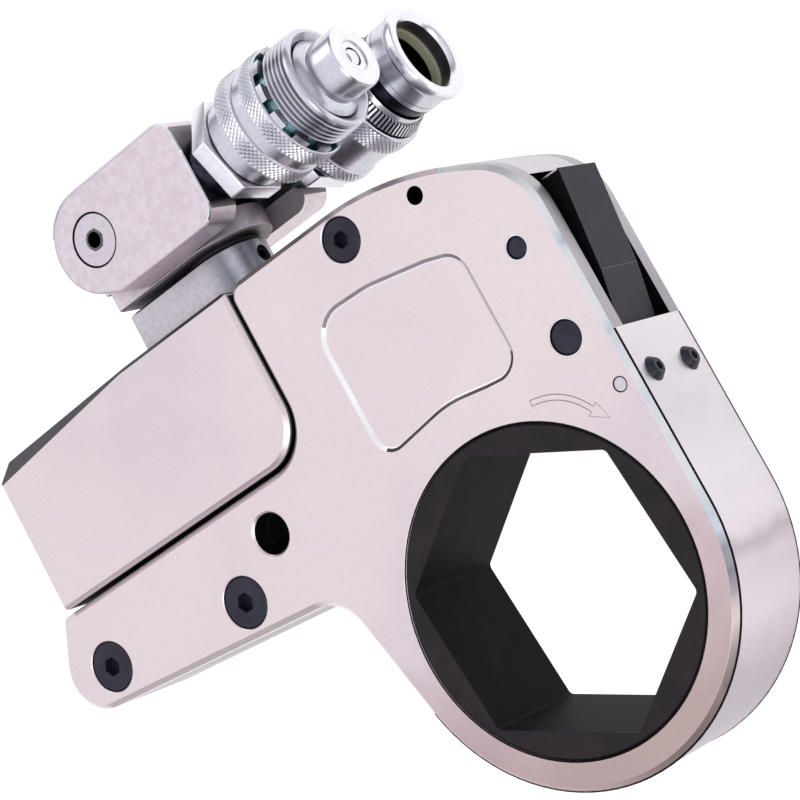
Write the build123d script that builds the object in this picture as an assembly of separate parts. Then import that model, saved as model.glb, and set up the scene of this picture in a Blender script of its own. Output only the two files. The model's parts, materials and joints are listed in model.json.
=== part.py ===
from build123d import *
from math import asin, atan2, cos, degrees, hypot, radians, sin, tan
import os

# Hydraulic torque wrench with a through hexagon, a notched power head and a hose swivel.
# Millimetres. The origin is the centre of the hexagon, halfway through the tool's width.
# +X runs from the piston end to the nose, +Y from the hexagon up to the swivel,
# and +Z out of the front side plate.

# Fits
running_gap = 0.05          # radial play of a shaft or sleeve that turns or slides
seat_gap = 0.02             # radial play of a pin or plug that stays put
loose_gap = 0.3             # room between pieces that pass each other

# Ratchet link: side plates
body_width = 32.0
plate_thickness = 5.5
plate_chamfer = 1.3
crown_height = 96.0
crown_radius = 80.0
crown_centre_x = -6.1
shoulder_radius = 17.0
crown_corner_radius = 4.0
notch_x = -37.9
notch_radius = 12.0
arm_tip_x = -127.2
arm_tip_radius = 1.5
arm_toe_length = 13.2       # toe beyond the arm's tip
arm_height = 23.6           # from the toe up to the arm's top edge
arm_toe_radius = 10.0
reaction_slope = 5.02       # degrees that the reaction face falls towards the nose
heel_angle = 193.0          # where the heel line touches the nose circle, degrees from +X
heel_radius = 10.5
bore_chamfer = 0.5

# Shallow panel sunk in the front plate
panel_left_x = -22.0
panel_right_x = 21.0
panel_top_drop = 17.0       # below the crown
panel_shoulder_drop = 8.0   # below the panel's top
panel_bottom_rise = 6.1     # above the ratchet's hub
panel_corner_radii = (5.0, 9.0, 14.0, 6.0, 10.0, 5.0, 16.0, 4.0)    # round from the lower left
panel_depth = 0.5
panel_slope = 1.1

# Nose band
band_thickness = 2.5
band_half_width = 14.5
band_end_drop = 3.5         # below the holding pawl's pivot
band_heel_y = 6.0
band_screw_y = 29.5
band_screw_z = 8.0
band_screw_head_radius = 2.9
band_screw_head_height = 1.5
band_screw_shank_radius = 1.5
band_screw_length = 2.2

# Ratchet
drive_across_flats = 60.0
drive_vertex_angle = 34.7
drive_corner_radius = 1.6
hub_wall = 1.76             # from the hexagon's sharp corners out to the hub
tooth_ring = 4.2            # from the hub out to the crests
tooth_room = 0.4            # from the crests out to the nose band
tooth_count = 60
tooth_depth = 1.6
tooth_half_width = 4.9
tooth_flank_share = 0.16    # share of the pitch taken by the steep flank
tooth_land_share = 0.12
tooth_root_share = 0.10

# Screws and pins through the link
arm_screw_insets = [(7.7, 16.4), (52.9, 20.9)]    # in from the arm's tip, down from its top edge
arm_screw_head_radius = 6.1
arm_screw_shank_radius = 4.0
arm_screw_socket = 4.2
crown_screw_x = -4.0
crown_screw_drop = 6.8
crown_screw_head_radius = 5.0
crown_screw_shank_radius = 2.5
crown_screw_socket = 3.6
screw_head_depth = 4.4
screw_sink = 0.15
screw_socket_depth = 2.6
lanyard_hole_x = -58.5
lanyard_hole_drop = 10.9    # below the arm's top edge
lanyard_hole_radius = 4.85
crown_hole_x = 17.9
crown_hole_drop = 8.7
crown_hole_radius = 2.05
dowel_inset = 4.4           # in from the nose side
dowel_radius = 1.5
stop_pin_inset = 10.1
stop_pin_drop = 10.6        # below the lever's top
stop_pin_radius = 2.45
pawl_pivot_inset = 10.2
pawl_pivot_rise = 3.2       # above the ratchet's crests
pawl_pivot_radius = 3.8

# Drive lever and its pawl
lever_angle = 18.0          # swing of the lever over one stroke
lever_inner_z = 5.3
lever_thickness = 4.9
lever_base_half_width = 17.0
lever_tip_radius = 7.4
lever_slot_room = 0.8       # how far the slot runs past the pin's nearest and furthest place
drive_pin_radius = 3.5
drive_pawl_half_width = 8.5
drive_pawl_lift = 2.0
guide_leg = 3.4
guide_base_room = 1.4       # above the crests
guide_top_drop = 10.4       # below the drive pin
guide_thickness = 5.5
guide_dowel_radius = 1.6
guide_dowel_offset = 7.0
pawl_spring_radius = 1.9
pawl_spring_wire = 0.45
pawl_spring_offset = 4.4
pawl_spring_seat = 3.0      # depth of the springs' seats in the drive pawl
pawl_spring_turns = 7

# Holding pawl
holding_half_width = 8.0
holding_swing = 5.0
holding_hub_radius = 6.6
holding_arm_half_width = 5.2
holding_arm_length = 24.6
holding_heel_angle = 37.0
holding_backlash = 0.9      # degrees of ratchet play behind the holding tooth
holding_spring_radius = 1.7
holding_spring_wire = 0.45
holding_spring_turns = 6
holding_spring_wall = 2.4
lever_top_drop = 20.1       # below the crown
lever_proud = 3.3           # beyond the nose side at its top
lever_knee_rise = 9.2       # above the pivot
lever_knee_proud = 0.5
lever_depth = 8.7
lever_room = 1.9            # between the lever's top and the crown spacer

# Power head
head_recess = 1.9           # how far the head stops short of the arm's tip
head_half_height = 20.1
head_gap = 1.0              # gap between the head and the link's notch
head_under_gap = 1.2        # gap between the head and the arm
head_corner_radius = 11.5
head_small_radius = 1.0
head_chamfer = 1.0
bevel_length = 59.3
bevel_drop = 5.8
bevel_depth = 7.0
cylinder_radius = 12.5
cylinder_end_room = 3.45    # past the piston at the end of its stroke
cap_thread_radius = 14.2
cap_flange = 8.0
cap_length = 18.5
spanner_hole_radius = 1.6
spanner_hole_offset = 8.5
piston_length = 15.0
rod_radius = 6.0
rod_stud_radius = 4.0
rod_tang_half_width = 4.8
rod_nut_across_flats = 13.0
rod_nut_height = 5.0
rod_eye_wall = 3.4
seal_section = 2.2
seal_width = 3.0
cap_seal_inset = 3.0
rod_seal_inset = 6.0
spigot_radius = 10.2
spigot_length = 13.4

# Hose swivel
post_inset = 5.7            # in from the head's right face
post_radius = 6.0
post_flange_radius = 8.0
post_flange_height = 2.5
pedestal_half_width = 10.2
pedestal_tail = 25.0        # from the post to the pedestal's square end
pedestal_height = 10.3
lock_screw_rise = 5.9
lock_screw_radius = 2.15
lock_screw_socket = 2.0
pedestal_screw_spacing = 18.9  # from the post
pedestal_screw_z = 5.6
pedestal_screw_radius = 1.95
pedestal_screw_grip = 7.5
pedestal_screw_head_radius = 3.3
pedestal_screw_head_depth = 4.5
swivel_gap = 1.1
yoke_half_width = 13.0
yoke_tail = 24.9
yoke_base_height = 6.2
tilt_offset = 13.9          # from the post towards the piston end
tilt_rise = 14.7            # above the yoke's underside
tilt_radius = 12.65
tongue_right = 12.5         # from the tilt axis
block_half_width = 23.0
block_reach = 33.1          # from the tilt axis to the block's end face
block_drop = 13.8           # from the tilt axis to the block's underside
block_core_offset = 15.5    # from the tilt axis to the core between the fork's arms
block_room = 1.6            # between the core and the yoke's base
seam_z = -4.0
seam_width = 0.3
seam_depth = 0.4
port_plug_x = 9.9           # in from the block's end face
port_plug_radius = 4.4
port_plug_length = 6.0
port_plug_socket = 4.0
block_round = 0.9
block_corner_radius = 4.5
axle_radius = 5.0
axle_cap_radius = 6.3
axle_cap_depth = 5.0
axle_socket = 4.6
axle_seal_z = 9.0
axle_seal_width = 2.0

# Hose couplers: stations along them are measured out from the block's end face
coupler_drop = 1.5          # coupler axes below the tilt axis
coupler_z = 14.45
stub_radius = 6.6
stub_length = 12.0
neck_radius = 8.0
neck_length = 6.4
coupler_hex = 23.4
hex_turn = 15.0
hex_length = 3.9
flange_radius = 11.0
feed_radius = 2.2
chamber_start = 17.4
knurl_radius = 14.1
knurl_edge = 0.5
front_core_radius = 9.6
front_flange_end = 15.2
front_collar_end = 36.8
front_collar_tip = 38.1
front_band = (20.1, 23.7, 13.4)
front_ring = (29.0, 31.0, 13.4)
front_ring_seat_radius = 12.2
front_notch_count = 12
front_notch_width = 4.2
front_notch_depth = 0.9
thread_radius = 12.6
thread_depth = 1.4
nose_pin_radius = 7.7
nose_groove_depth = 0.3
nose_groove_width = 0.9
nose_end = 46.3
ball_radius = 3.2
ball_room = 0.2
ball_recess_radius = 3.9
ball_recess_depth = 0.9
ball_travel = 2.0
ball_spring_radius = 2.6
ball_spring_wire = 0.6
ball_spring_turns = 9
rear_core_radius = 10.4
rear_sleeve_start = 11.4
rear_band = (15.9, 24.0, 13.6)
rear_knurl_end = 29.9
rear_sleeve_end = 34.4
rear_sleeve_tip_radius = 13.0
rear_ring_wall = 1.2
rear_notch_count = 48
rear_notch_width = 0.8
rear_notch_depth = 0.6
rear_neck_length = 3.4
rear_neck_step = 0.4
rear_barrel_radius = 11.2
rear_lip_radius = 12.0
rear_lip_length = 2.7
rear_end = 46.3
rear_bore_radius = 8.6
rear_bore_floor = 28.4
rear_seal_start = 39.8
rear_seal_length = 2.2
valve_radius = 3.4
valve_seat_radius = 5.6
valve_travel = 2.0
valve_spring_radius = 4.4
valve_spring_wire = 0.8
valve_spring_turns = 7

# Worked-out sizes
plate_face = body_width / 2
plate_inner = plate_face - plate_thickness
hub_radius = drive_across_flats / 2 / cos(radians(30)) + hub_wall
tooth_tip_radius = hub_radius + tooth_ring
nose_radius = tooth_tip_radius + tooth_room + band_thickness
head_top_y = crown_height
cylinder_y = head_top_y - head_half_height
head_bottom_y = cylinder_y - head_half_height
arm_top_y = head_bottom_y - head_under_gap
arm_toe_x = arm_tip_x - arm_toe_length
arm_toe_y = arm_top_y - arm_height
head_left_x = arm_tip_x + head_recess
notch_right_x = notch_x - head_gap
spigot_end_x = notch_right_x + spigot_length
bevel_start_x = head_left_x + bevel_length
tooth_root_radius = tooth_tip_radius - tooth_depth
tooth_pitch = 360 / tooth_count
half_swing = lever_angle / 2
pin_start_x = -cylinder_y * tan(radians(half_swing))
piston_stroke = -2 * pin_start_x
pin_far_radius = hypot(pin_start_x, cylinder_y)
lever_outer_z = lever_inner_z + lever_thickness
crown_inner_radius = pin_far_radius + lever_tip_radius + 2 * loose_gap
guide_base_radius = tooth_tip_radius + guide_base_room
guide_top_radius = cylinder_y - guide_top_drop
guide_crown_radius = guide_top_radius - guide_thickness
drive_pawl_top = (tooth_root_radius + guide_crown_radius + pawl_spring_seat) / 2
lever_top_y = crown_height - lever_top_drop
lever_outer_x = nose_radius + lever_proud
panel_top_y = crown_height - panel_top_drop
panel_shoulder_y = panel_top_y - panel_shoulder_drop
panel_bottom_y = hub_radius + panel_bottom_rise
arm_screw_places = [(arm_tip_x + inset, arm_top_y - drop) for inset, drop in arm_screw_insets]
crown_screw_place = (crown_screw_x, crown_height - crown_screw_drop)
crown_hole_place = (crown_hole_x, crown_height - crown_hole_drop)
lanyard_hole_place = (lanyard_hole_x, arm_top_y - lanyard_hole_drop)
dowel_place = (nose_radius - dowel_inset, band_screw_y)
stop_pin_place = (nose_radius - stop_pin_inset, lever_top_y - stop_pin_drop)
pawl_pivot_place = (nose_radius - pawl_pivot_inset, tooth_tip_radius + pawl_pivot_rise)
band_end_y = pawl_pivot_place[1] - band_end_drop
piston_start_x = head_left_x + cap_length + loose_gap
piston_front_x = piston_start_x + piston_length
piston_groove_x = piston_start_x + (piston_length - seal_width) / 2
cylinder_floor_x = piston_front_x + piston_stroke + cylinder_end_room
cap_groove_x = head_left_x + cap_flange + cap_seal_inset
groove_floor_radius = cylinder_radius - seal_section
rod_shoulder_x = pin_start_x - lever_tip_radius - 4.5
post_x = notch_right_x - post_inset
pedestal_top_y = head_top_y + pedestal_height
lock_screw_y = head_top_y + lock_screw_rise
pedestal_screw_x = post_x - pedestal_screw_spacing
yoke_bottom_y = pedestal_top_y + swivel_gap
yoke_base_top_y = yoke_bottom_y + yoke_base_height
fork_half_width = yoke_half_width + loose_gap
tilt_x = post_x - tilt_offset
tilt_y = yoke_bottom_y + tilt_rise
block_right_x = tilt_x + block_reach
block_bottom_y = tilt_y - block_drop
block_core_x = tilt_x + block_core_offset
block_core_bottom_y = yoke_base_top_y + block_room
coupler_y = tilt_y - coupler_drop
hex_end = neck_length + hex_length
ball_centre = nose_end - ball_radius
band_inner_radius = nose_radius - band_thickness


def round_x(radius, low, high, y=0.0, z=0.0):
    solid = Cylinder(radius, high - low, rotation=(0, 90, 0))
    return Pos((low + high) / 2, y, z) * solid


def round_y(radius, low, high, x=0.0, z=0.0):
    solid = Cylinder(radius, high - low, rotation=(90, 0, 0))
    return Pos(x, (low + high) / 2, z) * solid


def round_z(radius, low, high, x=0.0, y=0.0):
    return Pos(x, y, (low + high) / 2) * Cylinder(radius, high - low)


def slab(face, low, high):
    return Pos(0, 0, low) * extrude(face, high - low)


def block(x_low, x_high, y_low, y_high, z_low, z_high):
    size = (x_high - x_low, y_high - y_low, z_high - z_low)
    return Pos((x_low + x_high) / 2, (y_low + y_high) / 2, (z_low + z_high) / 2) * Box(*size)


def area(x_low, x_high, y_low, y_high):
    return Pos((x_low + x_high) / 2, (y_low + y_high) / 2) * Rectangle(x_high - x_low, y_high - y_low)


def outline_of(points):
    return make_face(Polyline(*points, close=True))


def rounded(face, corner, radius):
    vertex = face.vertices().sort_by_distance(Vector(corner[0], corner[1], 0))[0]
    return fillet(vertex, radius)


def polar(radius, angle):
    return (radius * cos(radians(angle)), radius * sin(radians(angle)))


def turned_x(points, y=0.0, z=0.0):
    # points are (x, radius) stations of a half section, closed along the axis
    return Pos(0, y, z) * revolve(outline_of(points), Axis.X)


def ring_x(inner, outer, low, high, y=0.0, z=0.0):
    return round_x(outer, low, high, y, z) - round_x(inner, low - 1, high + 1, y, z)


def ring_z(inner, outer, low, high, x=0.0, y=0.0):
    return round_z(outer, low, high, x, y) - round_z(inner, low - 1, high + 1, x, y)


def coil_spring(radius, wire, length, turns):
    # a compression spring standing on Z = 0
    path = Helix(pitch=(length - wire) / turns, height=length - wire, radius=radius - wire / 2)
    start = Plane(origin=path @ 0, z_dir=path % 0)
    return Pos(0, 0, wire / 2) * sweep(start * Circle(wire / 2), path)


def hex_socket(across_flats, depth):
    # opening down from Z = 0
    return Pos(0, 0, -depth) * extrude(RegularPolygon(across_flats / 2, 6, major_radius=False), depth + 1)


def link_outline():
    tangent = polar(nose_radius, heel_angle)
    along = radians(heel_angle - 90)
    slope = tan(radians(-reaction_slope))
    # heel: where the line touching the nose meets the reaction face
    reach = arm_toe_y + slope * (tangent[0] - arm_toe_x) - tangent[1]
    reach = reach / (sin(along) - slope * cos(along))
    heel = (tangent[0] + reach * cos(along), tangent[1] + reach * sin(along))
    corners = [(0, 0), (nose_radius, 0), (nose_radius, crown_height), (notch_x, crown_height)]
    corners += [(notch_x, arm_top_y), (arm_tip_x, arm_top_y), (arm_toe_x, arm_toe_y), heel, tangent]
    crown_centre_y = crown_height - crown_radius
    waste = area(crown_centre_x, nose_radius + 1, crown_centre_y, crown_height + 1)
    waste -= Pos(crown_centre_x, crown_centre_y) * Circle(crown_radius)
    face = outline_of(corners) - waste
    shoulder_y = crown_centre_y + crown_radius * cos(asin((nose_radius - crown_centre_x) / crown_radius))
    face = rounded(face, (nose_radius, shoulder_y), shoulder_radius)
    face = rounded(face, (notch_x, crown_height), crown_corner_radius)
    face = rounded(face, (notch_x, arm_top_y), notch_radius)
    face = rounded(face, (arm_tip_x, arm_top_y), arm_tip_radius)
    face = rounded(face, (arm_toe_x, arm_toe_y), arm_toe_radius)
    face = rounded(face, heel, heel_radius)
    return (face + Circle(nose_radius)).clean()


def band_outline():
    # a strip of the link's own edge, from the right side round the nose to the heel
    outline = link_outline()
    strip = outline - offset(outline, -band_thickness)
    keep = area(0, nose_radius + 1, -nose_radius - 1, band_end_y)
    keep += area(-nose_radius - 10, 0, -nose_radius - 1, band_heel_y)
    return strip & keep


def screw_holes(places, head_radius, shank_radius):
    # stepped holes from the front face down, each with a broken edge
    holes = Part()
    for x, y in places:
        holes += round_z(head_radius + 0.1, plate_face - screw_head_depth - screw_sink, plate_face + 1, x, y)
        holes += round_z(shank_radius + seat_gap, -plate_face + 1.5, plate_face, x, y)
        holes += Pos(x, y, plate_face) * Cone(head_radius, head_radius + 0.7, 0.7)
    return holes


def link_holes():
    holes = round_z(hub_radius + running_gap, -plate_face - 1, plate_face + 1)
    holes += screw_holes(arm_screw_places, arm_screw_head_radius, arm_screw_shank_radius)
    holes += screw_holes([crown_screw_place], crown_screw_head_radius, crown_screw_shank_radius)
    holes += round_z(lanyard_hole_radius, -plate_face - 1, plate_face + 1, *lanyard_hole_place)
    holes += round_z(crown_hole_radius, -plate_face - 1, plate_face + 1, *crown_hole_place)
    pin_floor = -plate_face + 1.5
    for place, radius in [(stop_pin_place, stop_pin_radius), (pawl_pivot_place, pawl_pivot_radius)]:
        holes += round_z(radius + seat_gap, pin_floor, plate_face + 1, *place)
    holes += round_z(dowel_radius + seat_gap, plate_inner - 1, plate_face + 1, *dowel_place)
    return holes


def broken_edges(radius, place):
    ring = Pos(place[0], place[1], plate_face) * Cone(radius, radius + bore_chamfer * 2, bore_chamfer * 2)
    return ring + mirror(ring, Plane.XY)


def side_plate(outline, band):
    plate = slab(outline, plate_inner, plate_face)
    rim = plate.faces().sort_by(Axis.Z)[-1].outer_wire().edges()
    plate = chamfer(rim, plate_chamfer)
    plate -= slab(band, plate_inner - 1, band_half_width)
    return plate


def panel_cut():
    points = [(panel_left_x, panel_bottom_y + 3), (panel_left_x, panel_top_y), (0, panel_top_y - 0.5)]
    points += [(panel_right_x - 3, panel_shoulder_y), (panel_right_x, panel_bottom_y + 6)]
    points += [(panel_right_x - 8, panel_bottom_y), (0, panel_bottom_y + 3), (-13, panel_bottom_y)]
    face = outline_of(points)
    for corner, radius in zip(points, panel_corner_radii):
        face = rounded(face, corner, radius)
    slope = degrees(atan2(panel_slope, panel_depth))
    return Pos(0, 0, plate_face) * extrude(face, -panel_depth, taper=slope)


def front_plate(outline, band):
    plate = side_plate(outline, band) - link_holes() - panel_cut()
    return plate - broken_edges(hub_radius, (0, 0)) - broken_edges(lanyard_hole_radius, lanyard_hole_place)


def rear_plate(outline, band):
    plate = mirror(side_plate(outline, band), Plane.XY) - link_holes()
    return plate - broken_edges(hub_radius, (0, 0)) - broken_edges(lanyard_hole_radius, lanyard_hole_place)


def nose_band(band):
    strip = slab(band, -band_half_width + seat_gap, band_half_width - seat_gap)
    hole = band_screw_shank_radius + seat_gap
    for side in (-1, 1):
        strip -= round_x(hole, 0, nose_radius + 1, band_screw_y, side * band_screw_z)
    return strip


def band_screws():
    screws = []
    for side in (-1, 1):
        z = side * band_screw_z
        shank_end = nose_radius - band_screw_length
        shank = round_x(band_screw_shank_radius, shank_end, nose_radius, band_screw_y, z)
        dome = Pos(nose_radius, band_screw_y, z) * (Rot(0, 90, 0) * Cone(
            band_screw_head_radius, band_screw_head_radius * 0.62, band_screw_head_height,
            align=(Align.CENTER, Align.CENTER, Align.MIN)))
        head = Rot(0, 90, 0) * hex_socket(1.8, band_screw_head_height * 0.7)
        screws.append(shank + dome - Pos(nose_radius + band_screw_head_height, band_screw_y, z) * head)
    return screws


def flush_screw(place, head_radius, shank_radius, socket):
    top = plate_face - screw_sink
    screw = round_z(head_radius, top - screw_head_depth, top, *place)
    screw += round_z(shank_radius, -plate_face + 1.8, top - screw_head_depth, *place)
    rim = screw.faces().sort_by(Axis.Z)[-1].edges()
    screw = chamfer(rim, 0.4)
    return screw - Pos(place[0], place[1], top) * hex_socket(socket, screw_socket_depth)


def crown_spacer(outline):
    keep = area(-nose_radius, nose_radius, 0, crown_height + 1) - Circle(crown_inner_radius)
    keep -= area(-nose_radius * 2, crown_centre_x - 30, 0, cylinder_y + 5)
    body = slab(outline & keep, -plate_inner, plate_inner)
    body -= round_x(spigot_radius + running_gap, notch_x - 1, spigot_end_x + loose_gap, cylinder_y)
    rod_room = cylinder_y + rod_radius + loose_gap
    body -= block(-nose_radius, 0, 0, rod_room, -plate_inner, plate_inner)
    body -= block(0, nose_radius + 1, 0, lever_top_y + lever_room, -plate_inner, plate_inner)
    return body - link_holes()


def arm_spacer(outline, band):
    keep = area(arm_toe_x, notch_x + 8, band_heel_y, arm_top_y + 9) - Circle(band_inner_radius + loose_gap)
    body = slab((outline & keep) - band, -plate_inner, plate_inner)
    return body - link_holes()


def tooth_profile(grow=0.0):
    # steep flank on the side that faces back, then a root flat and a long ramp to the next crest
    points = []
    for tooth in range(tooth_count):
        start = tooth * tooth_pitch
        crest = tooth_tip_radius + grow
        root = tooth_root_radius + grow
        points.append(polar(crest, start - tooth_pitch * tooth_land_share))
        points.append(polar(crest, start))
        points.append(polar(root, start + tooth_pitch * tooth_flank_share))
        points.append(polar(root, start + tooth_pitch * (tooth_flank_share + tooth_root_share)))
    return outline_of(points)


def ratchet():
    wheel = round_z(hub_radius, -plate_face, plate_face)
    wheel += slab(tooth_profile(), -tooth_half_width, tooth_half_width)
    for side in (-1, 1):
        rim = wheel.edges().filter_by(GeomType.CIRCLE).sort_by(Axis.Z)[0 if side < 0 else -1]
        wheel = chamfer(rim, 0.5)
    across = RegularPolygon(drive_across_flats / 2, 6, major_radius=False, rotation=drive_vertex_angle)
    across = fillet(across.vertices(), drive_corner_radius)
    return wheel - slab(across, -plate_face - 1, plate_face + 1)


def lever_frame(shape):
    # turns a shape drawn straight up to the lever's rest angle
    return Rot(0, 0, half_swing) * shape


def lever_face():
    low = hub_radius + running_gap
    tip = pin_far_radius
    sides = [(-lever_base_half_width, low * 0.9), (lever_base_half_width, low * 0.9)]
    sides += [(lever_tip_radius, tip), (-lever_tip_radius, tip)]
    face = outline_of(sides) + Pos(0, tip) * Circle(lever_tip_radius)
    face += Circle(tooth_tip_radius - 0.2)
    slot_length = pin_far_radius - cylinder_y + lever_slot_room
    slot = SlotCenterToCenter(slot_length, 2 * (drive_pin_radius + 0.2), rotation=90)
    face -= Pos(0, (pin_far_radius + cylinder_y) / 2) * slot
    return face - Circle(low + 0.05)


def guide_dowel_places():
    y = (guide_crown_radius + guide_top_radius) / 2
    return [(-guide_dowel_offset, y), (guide_dowel_offset, y)]


def lever_plate(side):
    face = lever_face()
    for x, y in guide_dowel_places():
        face -= Pos(x, y) * Circle(guide_dowel_radius + seat_gap)
    low = lever_inner_z if side > 0 else -lever_outer_z
    return lever_frame(slab(face, low, low + lever_thickness))


def guide_block():
    outer = drive_pawl_half_width + running_gap + guide_leg
    inner = drive_pawl_half_width + running_gap
    face = area(-outer, outer, guide_base_radius, guide_top_radius)
    face -= area(-inner, inner, guide_base_radius - 1, guide_crown_radius)
    for x, y in guide_dowel_places():
        face -= Pos(x, y) * Circle(guide_dowel_radius + seat_gap)
    return lever_frame(slab(face, -lever_inner_z, lever_inner_z))


def guide_dowels():
    pins = []
    for x, y in guide_dowel_places():
        pins.append(lever_frame(round_z(guide_dowel_radius, -lever_outer_z, lever_outer_z, x, y)))
    return pins


def drive_pawl():
    # drawn in mesh, then lifted clear of the crests, as it rides on the return stroke
    half = drive_pawl_half_width
    face = lever_frame(area(-half, half, tooth_root_radius - 2, drive_pawl_top))
    face -= tooth_profile(0.15)
    face -= Circle(tooth_root_radius + 0.25)
    body = slab(face, -tooth_half_width + 0.1, tooth_half_width - 0.1)
    up = Vector(0, drive_pawl_lift, 0).rotate(Axis.Z, half_swing)
    body = Pos(up.X, up.Y, 0) * body
    floor = drive_pawl_top - pawl_spring_seat
    for side in (-1, 1):
        seat = round_y(pawl_spring_radius + 0.2, floor, guide_crown_radius, side * pawl_spring_offset)
        body -= lever_frame(seat)
    return body


def pawl_springs():
    springs = []
    low = drive_pawl_top - pawl_spring_seat
    length = guide_crown_radius - low
    for side in (-1, 1):
        coil = coil_spring(pawl_spring_radius, pawl_spring_wire, length - 0.1, pawl_spring_turns)
        stand = Pos(side * pawl_spring_offset, low + 0.05, 0) * Rot(-90, 0, 0) * coil
        springs.append(lever_frame(stand))
    return springs


def holding_pawl():
    px, py = pawl_pivot_place
    # outer lever, standing a little proud of the nose side and drawn in below the band's end
    inner_x = lever_outer_x - lever_depth
    lever_knee_y = py + lever_knee_rise
    face = outline_of([
        (lever_outer_x, lever_top_y),
        (inner_x, lever_top_y),
        (inner_x - 0.2, lever_knee_y),
        (px, py + holding_hub_radius),
        (px, py),
        (band_inner_radius - 2 * loose_gap, band_end_y - 1),
        (band_inner_radius + 0.4, band_end_y + 0.8),
        (nose_radius + lever_knee_proud, lever_knee_y),
    ])
    wide = slab(face, -holding_half_width, holding_half_width)
    wide += round_z(holding_hub_radius, -holding_half_width, holding_half_width, px, py)
    # tooth arm, reaching down between the lever plates to the ratchet
    arm_x = px + holding_arm_half_width
    holding_nose_y = py - holding_arm_length
    nose_x = (tooth_root_radius ** 2 - holding_nose_y ** 2) ** 0.5
    heel = polar(tooth_root_radius, holding_heel_angle)
    arm = outline_of([(arm_x, py), (px - holding_hub_radius, py), heel, (nose_x, holding_nose_y),
                      (arm_x, holding_nose_y)])
    arm -= tooth_profile(0.2)
    arm -= Rot(0, 0, holding_backlash) * tooth_profile(0.2)
    narrow = slab(arm, -tooth_half_width + 0.1, tooth_half_width - 0.1)
    body = wide + narrow
    body -= round_x(holding_spring_radius + 0.2, inner_x - 1, holding_spring_floor_x(), stop_pin_place[1])
    return body - round_z(pawl_pivot_radius + running_gap, -plate_face, plate_face, px, py)


def holding_spring_floor_x():
    return lever_outer_x - holding_spring_wall


def pin_through(place, radius, sink):
    pin = round_z(radius, -plate_face + 1.6, plate_face - sink, *place)
    return chamfer(pin.faces().sort_by(Axis.Z)[-1].edges(), 0.4)


def head_housing():
    profile = area(head_left_x, notch_right_x, head_bottom_y, head_top_y)
    profile = rounded(profile, (notch_right_x, head_bottom_y), head_corner_radius)
    for corner in [(head_left_x, head_bottom_y), (notch_right_x, head_top_y)]:
        profile = rounded(profile, corner, head_small_radius)
    body = slab(profile, -plate_face, plate_face)
    for index in (0, -1):
        rim = body.faces().sort_by(Axis.Z)[index].edges()
        rim = rim.filter_by(lambda edge: edge.center().Y < head_top_y - 0.1)
        body = chamfer(rim.filter_by(lambda edge: edge.center().X > head_left_x + 0.1), head_chamfer)
    for side in (-1, 1):
        body -= bevel_waste(side)
    body += round_x(spigot_radius, notch_right_x - 1, spigot_end_x, cylinder_y)
    body -= round_x(cylinder_radius, head_left_x - 1, cylinder_floor_x, cylinder_y)
    body -= round_x(cap_thread_radius, head_left_x - 1, head_left_x + cap_flange, cylinder_y)
    body -= round_x(rod_radius + running_gap, cylinder_floor_x - 1, spigot_end_x + 1, cylinder_y)
    body -= ring_x(rod_radius, rod_radius + seal_section, rod_seal_x(), rod_seal_x() + seal_width, cylinder_y)
    hole_floor = head_top_y - pedestal_screw_grip - loose_gap
    for side in (-1, 1):
        radius = pedestal_screw_radius + seat_gap
        body -= round_y(radius, hole_floor, head_top_y + 1, pedestal_screw_x, side * pedestal_screw_z)
    return body


def rod_seal_x():
    return notch_right_x - rod_seal_inset


def bevel_waste(side):
    # everything past the plane that starts at bevel_start_x and deepens to the piston end
    start = Vector(bevel_start_x, head_top_y, side * plate_face)
    low = Vector(head_left_x, head_top_y - bevel_drop, side * plate_face)
    deep = Vector(head_left_x, head_top_y, side * (plate_face - bevel_depth))
    normal = (low - start).cross(deep - start)
    if normal.Y < 0:
        normal = normal * -1
    plane = Plane(origin=start, x_dir=low - start, z_dir=normal)
    return plane * Box(400, 60, 30, align=(Align.CENTER, Align.CENTER, Align.MIN))


def end_cap():
    seat = cap_thread_radius - seat_gap
    body = round_x(seat, head_left_x + 0.3, head_left_x + cap_flange, cylinder_y)
    flange_end = head_left_x + cap_flange
    body += round_x(cylinder_radius - seat_gap, flange_end, head_left_x + cap_length, cylinder_y)
    groove_end = cap_groove_x + seal_width
    body -= ring_x(groove_floor_radius, cylinder_radius + 1, cap_groove_x, groove_end, cylinder_y)
    for side in (-1, 1):
        y = cylinder_y + side * spanner_hole_offset
        body -= round_x(spanner_hole_radius, head_left_x, head_left_x + 4, y)
    return body


def cap_seal():
    outer = cylinder_radius - seat_gap
    return ring_x(groove_floor_radius, outer, cap_groove_x, cap_groove_x + seal_width, cylinder_y)


def piston():
    body = round_x(cylinder_radius - running_gap, piston_start_x, piston_front_x, cylinder_y)
    groove_end = piston_groove_x + seal_width
    body -= ring_x(groove_floor_radius, cylinder_radius + 1, piston_groove_x, groove_end, cylinder_y)
    nut_room = rod_nut_across_flats * 0.62
    body -= round_x(nut_room, piston_start_x - 1, piston_start_x + rod_nut_height + 0.6, cylinder_y)
    return body - round_x(rod_stud_radius + seat_gap, piston_start_x, piston_front_x + 1, cylinder_y)


def piston_seal():
    outer = cylinder_radius - running_gap
    return ring_x(groove_floor_radius, outer, piston_groove_x, piston_groove_x + seal_width, cylinder_y)


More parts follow.
